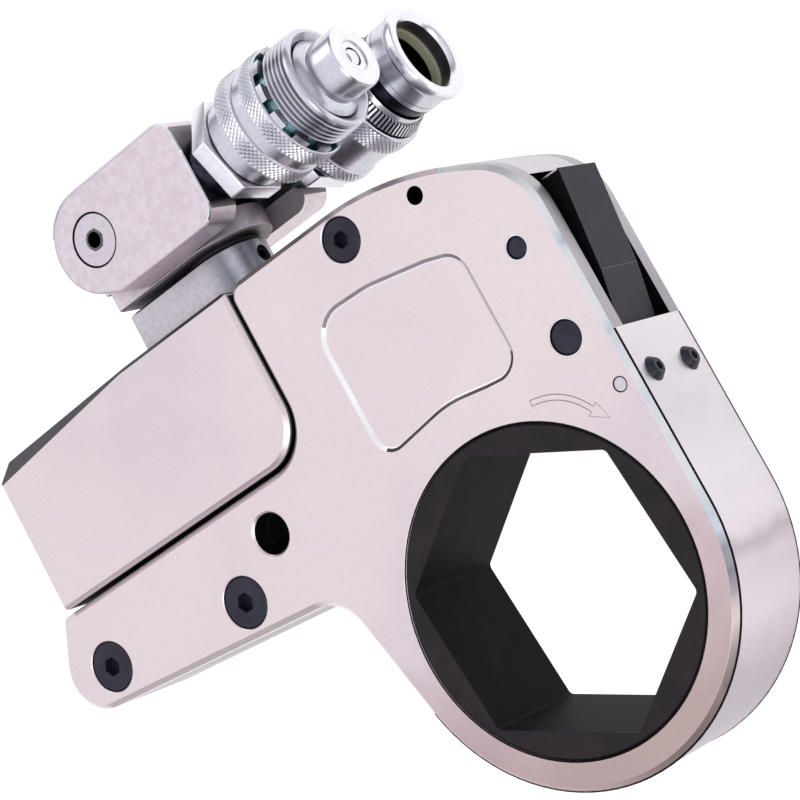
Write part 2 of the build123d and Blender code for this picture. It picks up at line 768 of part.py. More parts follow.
def piston_rod():
    body = round_x(rod_radius, piston_front_x, rod_shoulder_x + 0.5, cylinder_y)
    body += round_x(rod_stud_radius, piston_start_x + 0.5, piston_front_x, cylinder_y)
    tang = area(rod_shoulder_x - 4, pin_start_x, cylinder_y - rod_radius, cylinder_y + rod_radius)
    tang += Pos(pin_start_x, cylinder_y) * Circle(drive_pin_radius + rod_eye_wall)
    tang -= Pos(pin_start_x, cylinder_y) * Circle(drive_pin_radius + seat_gap)
    flat = slab(tang, -rod_tang_half_width, rod_tang_half_width)
    flat &= block(rod_shoulder_x, 0, 0, crown_height, -rod_tang_half_width, rod_tang_half_width)
    return body + flat


def rod_nut():
    nut = extrude(RegularPolygon(rod_nut_across_flats / 2, 6, major_radius=False), rod_nut_height)
    nut -= Cylinder(rod_stud_radius + seat_gap, 40)
    return Pos(piston_start_x + 0.6, cylinder_y, 0) * Rot(0, 90, 0) * nut


def drive_pin():
    return round_z(drive_pin_radius, -lever_outer_z + 0.1, lever_outer_z - 0.1, pin_start_x, cylinder_y)


def rod_seal():
    low = rod_seal_x()
    return ring_x(rod_radius + running_gap, rod_radius + seal_section, low, low + seal_width, cylinder_y)


def d_shape(left_x, half_width):
    face = area(left_x, post_x, -half_width, half_width)
    face += Pos(post_x, 0) * Circle(half_width)
    return face.clean()


def lifted(face, low, high):
    # a shape drawn as x and z, standing between two heights
    return Pos(0, low, 0) * extrude(Rot(-90, 0, 0) * face, high - low, dir=(0, 1, 0))


def pedestal():
    body = lifted(d_shape(post_x - pedestal_tail, pedestal_half_width), head_top_y, pedestal_top_y)
    body = chamfer(body.faces().sort_by(Axis.Y)[-1].edges(), 0.5)
    body -= round_y(post_radius + seat_gap, head_top_y - 1, pedestal_top_y + 1, post_x)
    body -= round_y(post_flange_radius + seat_gap, head_top_y - 1, head_top_y + post_flange_height, post_x)
    body -= round_x(lock_screw_radius + seat_gap, post_x, post_x + pedestal_half_width + 1, lock_screw_y)
    for side in (-1, 1):
        z = side * pedestal_screw_z
        shoulder = pedestal_top_y - pedestal_screw_head_depth
        body -= round_y(pedestal_screw_radius + seat_gap, head_top_y - 1, pedestal_top_y, pedestal_screw_x, z)
        body -= round_y(pedestal_screw_head_radius + 0.1, shoulder, pedestal_top_y + 1, pedestal_screw_x, z)
    return body


def lock_screw():
    # cup-point screw in the pedestal's round end, holding the post
    end = post_x + pedestal_half_width - 0.4
    screw = round_x(lock_screw_radius, post_x + post_radius + loose_gap, end, lock_screw_y)
    socket = Rot(0, 90, 0) * hex_socket(lock_screw_socket, 2.0)
    return screw - Pos(end, lock_screw_y, 0) * socket


def pedestal_screws():
    screws = []
    shoulder = pedestal_top_y - pedestal_screw_head_depth
    top = pedestal_top_y - loose_gap
    low = head_top_y - pedestal_screw_grip
    for side in (-1, 1):
        z = side * pedestal_screw_z
        screw = round_y(pedestal_screw_head_radius, shoulder, top, pedestal_screw_x, z)
        screw += round_y(pedestal_screw_radius, low, shoulder, pedestal_screw_x, z)
        socket = Rot(-90, 0, 0) * hex_socket(3.0, 2.2)
        screws.append(screw - Pos(pedestal_screw_x, top, z) * socket)
    return screws


def swivel_post():
    top = yoke_base_top_y - 0.6
    body = round_y(post_radius, head_top_y + 0.2, top, post_x)
    body += round_y(post_flange_radius, head_top_y + 0.2, head_top_y + post_flange_height, post_x)
    body -= groove_y(post_radius - 0.9, post_radius + 1, post_groove_y(), post_groove_y() + 1.2)
    return body


def post_groove_y():
    return yoke_bottom_y + 2.0


def groove_y(inner, outer, low, high):
    return round_y(outer, low, high, post_x) - round_y(inner, low - 1, high + 1, post_x)


def swivel_seal():
    low = pedestal_top_y
    return groove_y(post_radius + running_gap, pedestal_half_width - 1.0, low, low + swivel_gap - 0.1)


def retaining_ring():
    low = post_groove_y()
    return groove_y(post_radius - 0.8, post_radius + 0.9, low + 0.05, low + 1.15)


def yoke():
    base = lifted(d_shape(post_x - yoke_tail, yoke_half_width), yoke_bottom_y, yoke_base_top_y)
    base = chamfer(base.faces().sort_by(Axis.Y)[0].edges(), 0.5)
    eye = tilt_radius - loose_gap
    face = area(tilt_x - eye, tilt_x + tongue_right, yoke_base_top_y - 1, tilt_y)
    face += Pos(tilt_x, tilt_y) * Circle(eye)
    tongue = slab(face, -yoke_half_width, yoke_half_width)
    body = base + tongue
    body -= round_y(post_radius + running_gap, yoke_bottom_y - 1, yoke_base_top_y - 0.4, post_x)
    body -= groove_y(post_radius, post_radius + 0.95, post_groove_y(), post_groove_y() + 1.2)
    body -= round_z(axle_radius + running_gap, -yoke_half_width - 1, yoke_half_width + 1, tilt_x, tilt_y)
    for side in (-1, 1):
        body -= axle_seal_ring(side)
    return body


def axle_seal_ring(side):
    low = side * axle_seal_z - axle_seal_width / 2
    return ring_z(axle_radius + running_gap, axle_radius + 1.6, low, low + axle_seal_width, tilt_x, tilt_y)


def tilt_block():
    top = tilt_y + tilt_radius
    bottom = block_bottom_y
    end = Pos(tilt_x, tilt_y) * Circle(tilt_radius)
    face = make_hull(area(tilt_x, block_right_x, bottom, top).edges() + end.edges())
    face = rounded(face, (block_right_x, top), block_corner_radius)
    face = rounded(face, (block_right_x, bottom), block_corner_radius)
    body = slab(face, -block_half_width, block_half_width)
    for index in (0, -1):
        body = fillet(body.faces().sort_by(Axis.Z)[index].edges(), block_round)
    fork = (-fork_half_width, fork_half_width)
    body -= block(tilt_x - 2 * tilt_radius, block_core_x, bottom - 1, top + 1, *fork)
    body -= block(block_core_x - 1, block_right_x + 1, bottom - 1, block_core_bottom_y, *fork)
    body -= round_z(axle_radius + seat_gap, -block_half_width - 1, block_half_width + 1, tilt_x, tilt_y)
    cap_floor = block_half_width - axle_cap_depth
    for low, high in [(cap_floor, block_half_width + 1), (-block_half_width - 1, -cap_floor)]:
        body -= round_z(axle_cap_radius + seat_gap, low, high, tilt_x, tilt_y)
    for side in (-1, 1):
        body -= at_coupler(side) * round_x(stub_radius + seat_gap, -stub_length - 0.5, 1)
    plug_end = block_core_bottom_y + port_plug_length
    body -= round_y(port_plug_radius + seat_gap, bottom, plug_end, port_plug_centre())
    # seam where the block's two halves meet, on the outside of the core
    line = (face - offset(face, -seam_depth)) & area(block_core_x, block_right_x + 1, bottom - 1, top + 1)
    return body - slab(line, seam_z - seam_width / 2, seam_z + seam_width / 2)


def port_plug_centre():
    return block_right_x - port_plug_x


def port_plug():
    # closes the drilling that joins the block's passages, seen from below
    low = block_core_bottom_y + loose_gap
    high = block_core_bottom_y + port_plug_length - loose_gap
    plug = round_y(port_plug_radius, low, high, port_plug_centre())
    plug = chamfer(plug.faces().sort_by(Axis.Y)[0].edges(), loose_gap)
    return plug - Pos(port_plug_centre(), low, 0) * (Rot(90, 0, 0) * hex_socket(port_plug_socket, 2.5))


def at_coupler(side):
    # a coupler's own frame: X = 0 on the block's end face, along the coupler's axis
    return Pos(block_right_x, coupler_y, side * coupler_z)


def tilt_axle():
    reach = block_half_width - axle_cap_depth
    return round_z(axle_radius, -reach, reach, tilt_x, tilt_y)


def axle_caps():
    caps = []
    for side in (-1, 1):
        cap = Pos(0, 0, -axle_cap_depth) * extrude(Circle(axle_cap_radius), axle_cap_depth - 0.1)
        cap = chamfer(cap.faces().sort_by(Axis.Z)[-1].edges(), 0.3)
        cap -= Pos(0, 0, -0.1) * hex_socket(axle_socket, 3.2)
        turn = Rot(0, 0, 0) if side > 0 else Rot(180, 0, 0)
        caps.append(Pos(tilt_x, tilt_y, side * block_half_width) * turn * cap)
    return caps


def axle_seals():
    return [axle_seal_ring(-1), axle_seal_ring(1)]


def coupler_root():
    # stub in the block, dark neck and the hexagon of either coupler
    body = round_x(stub_radius, -stub_length, 0) + round_x(neck_radius, 0, neck_length)
    nut = extrude(RegularPolygon(coupler_hex / 2, 6, major_radius=False), hex_length)
    corner_cut = Cone(coupler_hex / 2 + 4.5, coupler_hex / 2 + 0.6, hex_length)
    nut &= Pos(0, 0, hex_length / 2) * corner_cut
    nut = Rot(0, 90, 0) * (Rot(0, 0, hex_turn) * nut)
    return body + Pos(neck_length, 0, 0) * nut


def front_coupler_body():
    groove_end = front_collar_tip + 0.6 + nose_groove_width
    shaft = [(hex_end, 0), (hex_end, flange_radius - 1), (hex_end + 1, flange_radius)]
    shaft += [(front_flange_end, flange_radius), (front_flange_end, front_core_radius)]
    shaft += [(front_collar_tip - 1, front_core_radius), (front_collar_tip + 0.6, nose_pin_radius)]
    shaft += [(front_collar_tip + 0.6, nose_pin_radius - nose_groove_depth)]
    shaft += [(groove_end, nose_pin_radius - nose_groove_depth), (groove_end, nose_pin_radius)]
    shaft += [(nose_end - 0.5, nose_pin_radius), (nose_end, nose_pin_radius - 0.5), (nose_end, 0)]
    body = coupler_root() + turned_x(shaft)
    # chamber of the check ball, its sloping seat and the shallow recess round the mouth
    chamber = ball_radius + ball_room
    seat_low = ball_centre + 1.0
    seat_high = nose_end - ball_recess_depth - 0.4
    body -= round_x(chamber, chamber_start, seat_low)
    mouth = [(seat_low - 0.1, 0), (seat_low - 0.1, chamber), (seat_low, chamber)]
    mouth += [(seat_high, ball_radius * 0.86), (nose_end, ball_radius * 0.86), (nose_end, 0)]
    body -= turned_x(mouth)
    body -= round_x(ball_recess_radius, nose_end - ball_recess_depth, nose_end + 1)
    return at_coupler(1) * (body - round_x(feed_radius, -stub_length - 1, chamber_start + 1))


def check_ball():
    return at_coupler(1) * Pos(ball_centre, 0, 0) * Sphere(ball_radius)


def ball_spring():
    low = chamber_start + 0.1
    length = ball_centre - ball_radius - ball_travel - low
    coil = coil_spring(ball_spring_radius, ball_spring_wire, length, ball_spring_turns)
    return at_coupler(1) * Pos(low, 0, 0) * Rot(0, 90, 0) * coil


def front_collar():
    low = front_flange_end + 0.2
    band_low, band_high, band_radius = front_band
    ring_low, ring_high = front_ring[:2]
    bore = front_core_radius + 2 * running_gap
    tip = front_collar_tip - 0.9
    half = [(low, bore), (low, knurl_radius - knurl_edge), (low + knurl_edge, knurl_radius)]
    half += [(band_low, knurl_radius), (band_low, band_radius)]
    half += [(band_high, band_radius), (band_high, knurl_radius)]
    half += [(ring_low - knurl_edge, knurl_radius), (ring_low, knurl_radius - knurl_edge)]
    half += [(ring_low, front_ring_seat_radius), (ring_high, front_ring_seat_radius)]
    half += [(ring_high, thread_radius), (front_collar_end, thread_radius)]
    half += [(tip, thread_radius - thread_depth), (tip, bore)]
    return at_coupler(1) * turned_x(half)


def notched_ring(low, high, seat_radius, outer_radius, count, width, depth):
    ring = ring_x(seat_radius + seat_gap, outer_radius, low, high)
    for index in range(count):
        notch = Rot(index * 360 / count, 0, 0) * Pos((low + high) / 2, 0, outer_radius)
        ring -= notch * Box(high - low + 1, width, 2 * depth)
    return ring


def lock_ring():
    low, high, radius = front_ring
    ring = notched_ring(low + 0.05, high - 0.05, front_ring_seat_radius, radius,
                        front_notch_count, front_notch_width, front_notch_depth)
    return at_coupler(1) * ring


def rear_coupler_body():
    start = rear_sleeve_start - 0.2
    neck_low = rear_sleeve_end + 0.2
    neck_high = neck_low + rear_neck_length
    neck_radius_here = rear_core_radius + rear_neck_step
    lip_start = rear_end - rear_lip_length
    half = [(hex_end, 0), (hex_end, flange_radius), (start, flange_radius), (start, rear_core_radius)]
    half += [(neck_low, rear_core_radius), (neck_low, neck_radius_here), (neck_high, neck_radius_here)]
    half += [(neck_high, rear_barrel_radius), (lip_start, rear_barrel_radius)]
    half += [(lip_start + 0.8, rear_lip_radius), (rear_end - 0.6, rear_lip_radius)]
    half += [(rear_end, rear_lip_radius - 0.6)]
    half += [(rear_end, rear_bore_radius + 0.8), (rear_end - 0.8, rear_bore_radius)]
    half += [(rear_bore_floor, rear_bore_radius), (rear_bore_floor, 0)]
    body = coupler_root() + turned_x(half)
    seal_high = rear_seal_start + rear_seal_length
    body -= ring_x(rear_bore_radius - 1, rear_bore_radius + 1, rear_seal_start, seal_high)
    # stem that carries the valve, standing on the floor of the mouth
    body += round_x(valve_seat_radius + 1.2, rear_bore_floor - 1, rear_seal_start - 2)
    body -= round_x(valve_seat_radius, chamber_start, rear_seal_start - 3.5)
    body -= round_x(valve_radius + 2 * running_gap, chamber_start, rear_seal_start)
    return at_coupler(-1) * (body - round_x(feed_radius, -stub_length - 1, chamber_start + 1))


def rear_sleeve():
    low = rear_sleeve_start
    band_low, band_high, band_radius = rear_band
    bore = rear_core_radius + 2 * running_gap
    seat = rear_sleeve_tip_radius - rear_ring_wall
    half = [(low, bore), (low, knurl_radius - knurl_edge), (low + knurl_edge, knurl_radius)]
    half += [(band_low, knurl_radius), (band_low, band_radius)]
    half += [(band_high, band_radius), (band_high, knurl_radius)]
    half += [(rear_knurl_end - knurl_edge, knurl_radius), (rear_knurl_end, knurl_radius - knurl_edge)]
    half += [(rear_knurl_end, seat), (rear_sleeve_end, seat), (rear_sleeve_end, bore)]
    return at_coupler(-1) * turned_x(half)


def rear_ring():
    ring = notched_ring(rear_knurl_end + 0.1, rear_sleeve_end - 1.0, rear_sleeve_tip_radius - rear_ring_wall,
                        rear_sleeve_tip_radius, rear_notch_count, rear_notch_width, rear_notch_depth)
    return at_coupler(-1) * ring


def mouth_seal():
    low = rear_seal_start + seat_gap
    high = rear_seal_start + rear_seal_length - seat_gap
    return at_coupler(-1) * ring_x(rear_bore_radius - 0.9, rear_bore_radius + 1 - seat_gap, low, high)


def valve():
    body = round_x(valve_radius, rear_seal_start - 5.6, rear_seal_start - 1.4)
    body += round_x(valve_seat_radius - loose_gap, rear_seal_start - 7.6, rear_seal_start - 3.6)
    return at_coupler(-1) * body


def valve_spring():
    low = chamber_start + 0.1
    length = rear_seal_start - 7.7 - valve_travel - low
    coil = coil_spring(valve_spring_radius, valve_spring_wire, length, valve_spring_turns)
    return at_coupler(-1) * Pos(low, 0, 0) * Rot(0, 90, 0) * coil


def holding_pawl_spring():
    # pushes the lever outwards from the stop pin
    travel = radians(holding_swing) * (stop_pin_place[1] - pawl_pivot_place[1]) + loose_gap
    low = stop_pin_place[0] + stop_pin_radius + travel
    length = holding_spring_floor_x() - low - 0.05
    coil = coil_spring(holding_spring_radius, holding_spring_wire, length, holding_spring_turns)
    return Pos(low, stop_pin_place[1], 0) * Rot(0, 90, 0) * coil


def build():
    outline = link_outline()
    band = band_outline()
    nodes = {}
    nodes["front_plate"] = front_plate(outline, band)
    nodes["rear_plate"] = rear_plate(outline, band)
    nodes["nose_band"] = nose_band(band)
    nodes["band_screws"] = band_screws()
    nodes["crown_spacer"] = crown_spacer(outline)
    nodes["arm_spacer"] = arm_spacer(outline, band)
    arm_screw = (arm_screw_head_radius, arm_screw_shank_radius, arm_screw_socket)
    nodes["arm_screws"] = [flush_screw(place, *arm_screw) for place in arm_screw_places]
    nodes["crown_screw"] = flush_screw(crown_screw_place, crown_screw_head_radius,
                                       crown_screw_shank_radius, crown_screw_socket)
    nodes["dowel"] = round_z(dowel_radius, plate_inner - 0.9, plate_face - 0.1, *dowel_place)
    nodes["stop_pin"] = pin_through(stop_pin_place, stop_pin_radius, 0.2)
    nodes["pawl_pivot_pin"] = pin_through(pawl_pivot_place, pawl_pivot_radius, 0.2)
    nodes["ratchet"] = ratchet()
    nodes["lever_plate_front"] = lever_plate(1)
    nodes["lever_plate_rear"] = lever_plate(-1)
    nodes["guide_block"] = guide_block()
    nodes["guide_dowels"] = guide_dowels()
    nodes["drive_pawl"] = drive_pawl()
    nodes["drive_pawl_springs"] = pawl_springs()
    nodes["holding_pawl"] = holding_pawl()
    nodes["holding_pawl_spring"] = holding_pawl_spring()
    nodes["head_housing"] = head_housing()
    nodes["end_cap"] = end_cap()
    nodes["end_cap_seal"] = cap_seal()
    nodes["piston"] = piston()
    nodes["piston_seal"] = piston_seal()
    nodes["piston_rod"] = piston_rod()
    nodes["rod_nut"] = rod_nut()
    nodes["rod_seal"] = rod_seal()
    nodes["drive_pin"] = drive_pin()
    nodes["lock_screw"] = lock_screw()
    nodes["pedestal"] = pedestal()
    nodes["pedestal_screws"] = pedestal_screws()
    nodes["swivel_post"] = swivel_post()
    nodes["swivel_seal"] = swivel_seal()
    nodes["retaining_ring"] = retaining_ring()
    nodes["yoke"] = yoke()
    nodes["tilt_block"] = tilt_block()
    nodes["port_plug"] = port_plug()
    nodes["tilt_axle"] = tilt_axle()
    nodes["axle_caps"] = axle_caps()
    nodes["axle_seals"] = axle_seals()
    nodes["front_coupler_body"] = front_coupler_body()
    nodes["check_ball"] = check_ball()
    nodes["ball_spring"] = ball_spring()
    nodes["front_collar"] = front_collar()
    nodes["lock_ring"] = lock_ring()
    nodes["rear_coupler_body"] = rear_coupler_body()
    nodes["rear_sleeve"] = rear_sleeve()
    nodes["rear_ring"] = rear_ring()
    nodes["mouth_seal"] = mouth_seal()
    nodes["valve"] = valve()
    nodes["valve_spring"] = valve_spring()
    return nodes


def main():
    os.makedirs("parts", exist_ok=True)
    for name, shape in build().items():
        if isinstance(shape, list):
            shape = Compound(children=shape)
        export_step(shape, f"parts/{name}.step")


main()
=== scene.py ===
import bpy
import json
from math import atan2, cos, pi, radians, sin, tan
from mathutils import Matrix, Vector

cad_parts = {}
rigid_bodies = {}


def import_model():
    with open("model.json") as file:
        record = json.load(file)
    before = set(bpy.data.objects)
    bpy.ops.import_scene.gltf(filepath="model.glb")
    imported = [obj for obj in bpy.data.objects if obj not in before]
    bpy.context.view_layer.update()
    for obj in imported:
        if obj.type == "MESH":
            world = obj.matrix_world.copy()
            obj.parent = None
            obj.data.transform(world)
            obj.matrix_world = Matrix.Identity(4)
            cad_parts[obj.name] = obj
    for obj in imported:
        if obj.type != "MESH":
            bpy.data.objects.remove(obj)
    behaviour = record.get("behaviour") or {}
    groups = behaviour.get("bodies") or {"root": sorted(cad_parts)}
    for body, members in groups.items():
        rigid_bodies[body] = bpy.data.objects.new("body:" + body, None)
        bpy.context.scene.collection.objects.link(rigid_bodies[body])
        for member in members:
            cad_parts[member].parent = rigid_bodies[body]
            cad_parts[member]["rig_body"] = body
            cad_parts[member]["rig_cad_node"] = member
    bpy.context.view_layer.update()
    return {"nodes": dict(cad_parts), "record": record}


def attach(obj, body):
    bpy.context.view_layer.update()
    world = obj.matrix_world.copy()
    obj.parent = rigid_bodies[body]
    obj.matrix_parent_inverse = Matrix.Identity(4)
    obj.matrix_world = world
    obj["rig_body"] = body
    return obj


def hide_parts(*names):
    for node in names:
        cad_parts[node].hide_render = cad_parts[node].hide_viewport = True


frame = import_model()
nodes = frame["nodes"]
record = frame["record"]
bodyOf = {node: body for body, members in record["behaviour"]["bodies"].items() for node in members}
slotOf = {part["node"]: part["material_slot"] for part in record["subparts"]}
mm = 0.001
# the joints' axes and the mounts' places in mm
axisOf = {joint["name"]: [round(value / mm, 3) for value in joint["pos_m"]]
          for joint in record["behaviour"]["joints"] if "pos_m" in joint}
mountAt = {mount["name"]: [round(value / mm, 3) for value in mount["pos_m"]] for mount in record["mounts"]}
print("frame loaded:", len(nodes), "nodes")


def boxOf(node, digits=1):
    # the lowest and the highest corner of a solid, in mm
    places = [vertex.co / mm for vertex in nodes[node].data.vertices]
    return [[round(pick(place[axis] for place in places), digits) for axis in range(3)] for pick in (min, max)]


def middleOf(node):
    lowest, highest = boxOf(node, 3)
    return [round((low + high) / 2, 1) for low, high in zip(lowest, highest)]


plateLow, plateHigh = boxOf("front_plate")
bandHigh = boxOf("nose_band")[1]
# holes are (x, y, how far from there their walls are found)
link = {"halfWidth": plateHigh[2], "plateInner": plateLow[2], "noseRadius": plateHigh[0],
        "bandEndY": bandHigh[1], "bandHalf": bandHigh[2], "heelAngle": 193, "hexagon": (0, 0, 35),
        "hub": (0, 0, 37), "lanyard": (*mountAt["lanyard_bore"][:2], 5.1), "crownHole": (17.9, 87.3, 2.4)}


def hexColour(text):
    channels = [int(text[i:i + 2], 16) / 255 for i in (1, 3, 5)]
    linear = [c / 12.92 if c <= 0.04045 else ((c + 0.055) / 1.055) ** 2.4 for c in channels]
    return (linear[0], linear[1], linear[2], 1.0)


def perMetre(size):
    # the scale at which a pattern's clouds are this many mm wide
    return 1 / (size * mm)


def addNode(tree, kind, settings=None, links=None):
    # "stops" are a ramp's colours, (position, colour) each
    node = tree.nodes.new("ShaderNode" + kind)
    for key, value in (settings or {}).items():
        if key == "stops":
            edges = node.color_ramp.elements
            while len(edges) < len(value):
                edges.new(0.5)
            for edge, (position, colour) in zip(edges, value):
                edge.position = position
                edge.color = hexColour(colour)
        elif isinstance(key, int) or key in node.inputs:
            node.inputs[key].default_value = value
        else:
            setattr(node, key, value)
    for key, source in (links or {}).items():
        tree.links.new(source, node.inputs[key])
    return node


def startMaterial(name, colour, metallic, roughness, specular=0.5):
    material = bpy.data.materials.new(name)
    material.use_nodes = True
    shader = material.node_tree.nodes["Principled BSDF"]
    shader.inputs["Base Color"].default_value = hexColour(colour)
    shader.inputs["Metallic"].default_value = metallic
    shader.inputs["Roughness"].default_value = roughness
    shader.inputs["Specular IOR Level"].default_value = specular
    place = addNode(material.node_tree, "TexCoord").outputs["Object"]
    return material, material.node_tree, shader, place


def deselectAll():
    bpy.ops.object.select_all(action='DESELECT')


def makeActive(piece):
    deselectAll()
    piece.select_set(True)
    bpy.context.view_layer.objects.active = piece


def setMode(mode):
    bpy.ops.object.mode_set(mode=mode)


def pickParts(piece, kind, test):
    # leaves edit mode on with only the faces or the points that pass the test selected
    makeActive(piece)
    setMode('EDIT')
    bpy.ops.mesh.select_mode(type=kind)
    bpy.ops.mesh.select_all(action='DESELECT')
    setMode('OBJECT')
    if kind == 'FACE':
        for face in piece.data.polygons:
            face.select = test(face.center / mm, face.normal)
    else:
        for vertex in piece.data.vertices:
            vertex.select = test(vertex.co / mm)
    setMode('EDIT')


def paintFaces(piece, material, test):
    # gives the faces that pass the test another material
    if material.name not in piece.data.materials:
        piece.data.materials.append(material)
    pickParts(piece, 'FACE', test)
    piece.active_material_index = piece.data.materials.find(material.name)
    bpy.ops.object.material_slot_assign()
    setMode('OBJECT')


def applyModifier(piece, kind, **settings):
    makeActive(piece)
    modifier = piece.modifiers.new(kind.title(), kind)
    for key, value in settings.items():
        setattr(modifier, key, value)
    bpy.ops.object.modifier_apply(modifier=modifier.name)


def settle(piece, body, slotName, *replaced):
    # puts the object's place into its mesh and hands it to its body
    makeActive(piece)
    bpy.ops.object.transform_apply(location=True, rotation=True, scale=True)
    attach(piece, body)
    if replaced:
        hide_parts(*replaced)
    return piece


def satinPlate(name, tints, clouds, grain, depth, roughness, stretch=(1, 1, 1), stain=None,
               along=("Y", 6, -34), uneven=30):
    # nickel plate over ground steel: soft sheen, clouded tint and a fine grain, with painted shade in corners;
    # clouds and grain are sizes in mm, and the real grain of about 0.1 mm is drawn coarser to show
    material, tree, shader, place = startMaterial(name, tints[0][1], 1.0, roughness)
    spread = addNode(tree, "Mapping", {"Scale": stretch}, {"Vector": place}).outputs["Vector"]
    cloud = addNode(tree, "TexNoise", {"Scale": perMetre(clouds), "Detail": 3.0, "Roughness": 0.5},
                    {"Vector": spread})
    speck = addNode(tree, "TexNoise", {"Scale": perMetre(grain), "Detail": 3.0, "Roughness": 0.6},
                    {"Vector": place})
    tint = addNode(tree, "ValToRGB", {"stops": tints}, {"Fac": cloud.outputs["Fac"]})
    shade = addNode(tree, "MapRange",
                    {"From Min": 0.3, "From Max": 0.7, "To Min": 1 - depth, "To Max": 1.0},
                    {"Value": speck.outputs["Fac"]})
    # painted shade: ambient occlusion darkens the colour in corners and recesses
    cornerOcclusion = addNode(tree, "AmbientOcclusion", {"Distance": 9 * mm, "samples": 8})
    deepShade = addNode(tree, "MapRange", {"From Min": 0.10, "From Max": 0.80, "To Min": 0.18, "To Max": 1.0},
                   {"Value": cornerOcclusion.outputs["AO"]})
    both = addNode(tree, "Math", {"operation": "MULTIPLY"},
                   {0: shade.outputs["Result"], 1: deepShade.outputs["Result"]})
    ground = tint.outputs["Color"]
    if stain:
        # tints that follow one axis from one place to another, in mm, shifted by uneven patches
        axis, first, last = along
        reach = addNode(tree, "SeparateXYZ", links={"Vector": place}).outputs[axis]
        patch = addNode(tree, "TexNoise", {"Scale": perMetre(14.3), "Detail": 2.0}, {"Vector": place})
        shift = addNode(tree, "Math", {"operation": "MULTIPLY_ADD", 1: uneven * mm, 2: -uneven * mm / 2},
                        {0: patch.outputs["Fac"]})
        moved = addNode(tree, "Math", {"operation": "ADD"}, {0: reach, 1: shift.outputs[0]})
        share = addNode(tree, "MapRange", {"From Min": first * mm, "From Max": last * mm},
                        {"Value": moved.outputs[0]})
        tintedAlong = addNode(tree, "ValToRGB", {"stops": stain}, {"Fac": share.outputs["Result"]})
        ground = addNode(tree, "VectorMath", {"operation": "MULTIPLY"},
                         {0: ground, 1: tintedAlong.outputs["Color"]}).outputs["Vector"]
    colour = addNode(tree, "VectorMath", {"operation": "SCALE"},
                     {"Vector": ground, "Scale": both.outputs[0]})
    tree.links.new(colour.outputs["Vector"], shader.inputs["Base Color"])
    bump = addNode(tree, "Bump", {"Strength": 0.08, "Distance": 0.04 * mm},
                   {"Height": speck.outputs["Fac"]})
    tree.links.new(bump.outputs["Normal"], shader.inputs["Normal"])
    return material


def dullSteel(name, colour, worn, roughness, specular):
    # black oxide or bare grey steel: dull, a little paler where it has been rubbed, in clouds of 6.7 mm;
    # the crystals' skin is finer than a pixel, so it is drawn 0.45 mm coarse
    material, tree, shader, place = startMaterial(name, colour, 0.0, roughness, specular)
    cloud = addNode(tree, "TexNoise", {"Scale": perMetre(6.67), "Detail": 4.0, "Roughness": 0.55},
                    {"Vector": place})
    tint = addNode(tree, "ValToRGB", {"stops": [(0.40, colour), (0.80, worn)]},
                   {"Fac": cloud.outputs["Fac"]})
    tree.links.new(tint.outputs["Color"], shader.inputs["Base Color"])
    skin = addNode(tree, "TexNoise", {"Scale": perMetre(0.45), "Detail": 2.0}, {"Vector": place})
    bump = addNode(tree, "Bump", {"Strength": 0.14, "Distance": 0.04 * mm},
                   {"Height": skin.outputs["Fac"]})
    tree.links.new(bump.outputs["Normal"], shader.inputs["Normal"])
    return material


def turnedMetal(name, colour, dark, roughness, lineStrength, valley=None):
    # steel turned on a lathe and plated: fine rings round the X axis, a faint bloom and painted shade in
    # corners; real rings are about
    # 0.1 mm apart and drawn 0.25 mm apart to show; a knurl's valleys are drawn darker, down to a share of the
    # light
    material, tree, shader, place = startMaterial(name, colour, 1.0, roughness)
    lengthwise, across = perMetre(0.25), perMetre(33.3)
    spread = addNode(tree, "Mapping", {"Scale": (lengthwise, across, across)}, {"Vector": place})
    rings = addNode(tree, "TexNoise", {"Scale": 1.0, "Detail": 2.0}, {"Vector": spread.outputs["Vector"]})
    bloom = addNode(tree, "TexNoise", {"Scale": perMetre(1.43), "Detail": 3.0}, {"Vector": place})
    tint = addNode(tree, "ValToRGB", {"stops": [(0.35, dark), (0.60, colour)]},
                   {"Fac": bloom.outputs["Fac"]})
    # painted shade: ambient occlusion darkens the colour in corners and recesses
    cornerOcclusion = addNode(tree, "AmbientOcclusion", {"Distance": 5 * mm, "samples": 8})
    deepShade = addNode(tree, "MapRange", {"From Min": 0.10, "From Max": 0.75, "To Min": 0.12, "To Max": 1.0},
                   {"Value": cornerOcclusion.outputs["AO"]})
    light = deepShade.outputs["Result"]
    if valley:
        form = addNode(tree, "NewGeometry").outputs["Pointiness"]
        valleyDarkening = addNode(tree, "MapRange",
                        {"From Min": 0.44, "From Max": 0.53, "To Min": valley, "To Max": 1.0},
                        {"Value": form})
        light = addNode(tree, "Math", {"operation": "MULTIPLY"},
                        {0: light, 1: valleyDarkening.outputs["Result"]}).outputs[0]
    shaded = addNode(tree, "VectorMath", {"operation": "SCALE"},
                     {"Vector": tint.outputs["Color"], "Scale": light})
    tree.links.new(shaded.outputs["Vector"], shader.inputs["Base Color"])
    bump = addNode(tree, "Bump", {"Strength": lineStrength, "Distance": 0.03 * mm},
                   {"Height": rings.outputs["Fac"]})
    tree.links.new(bump.outputs["Normal"], shader.inputs["Normal"])
    return material


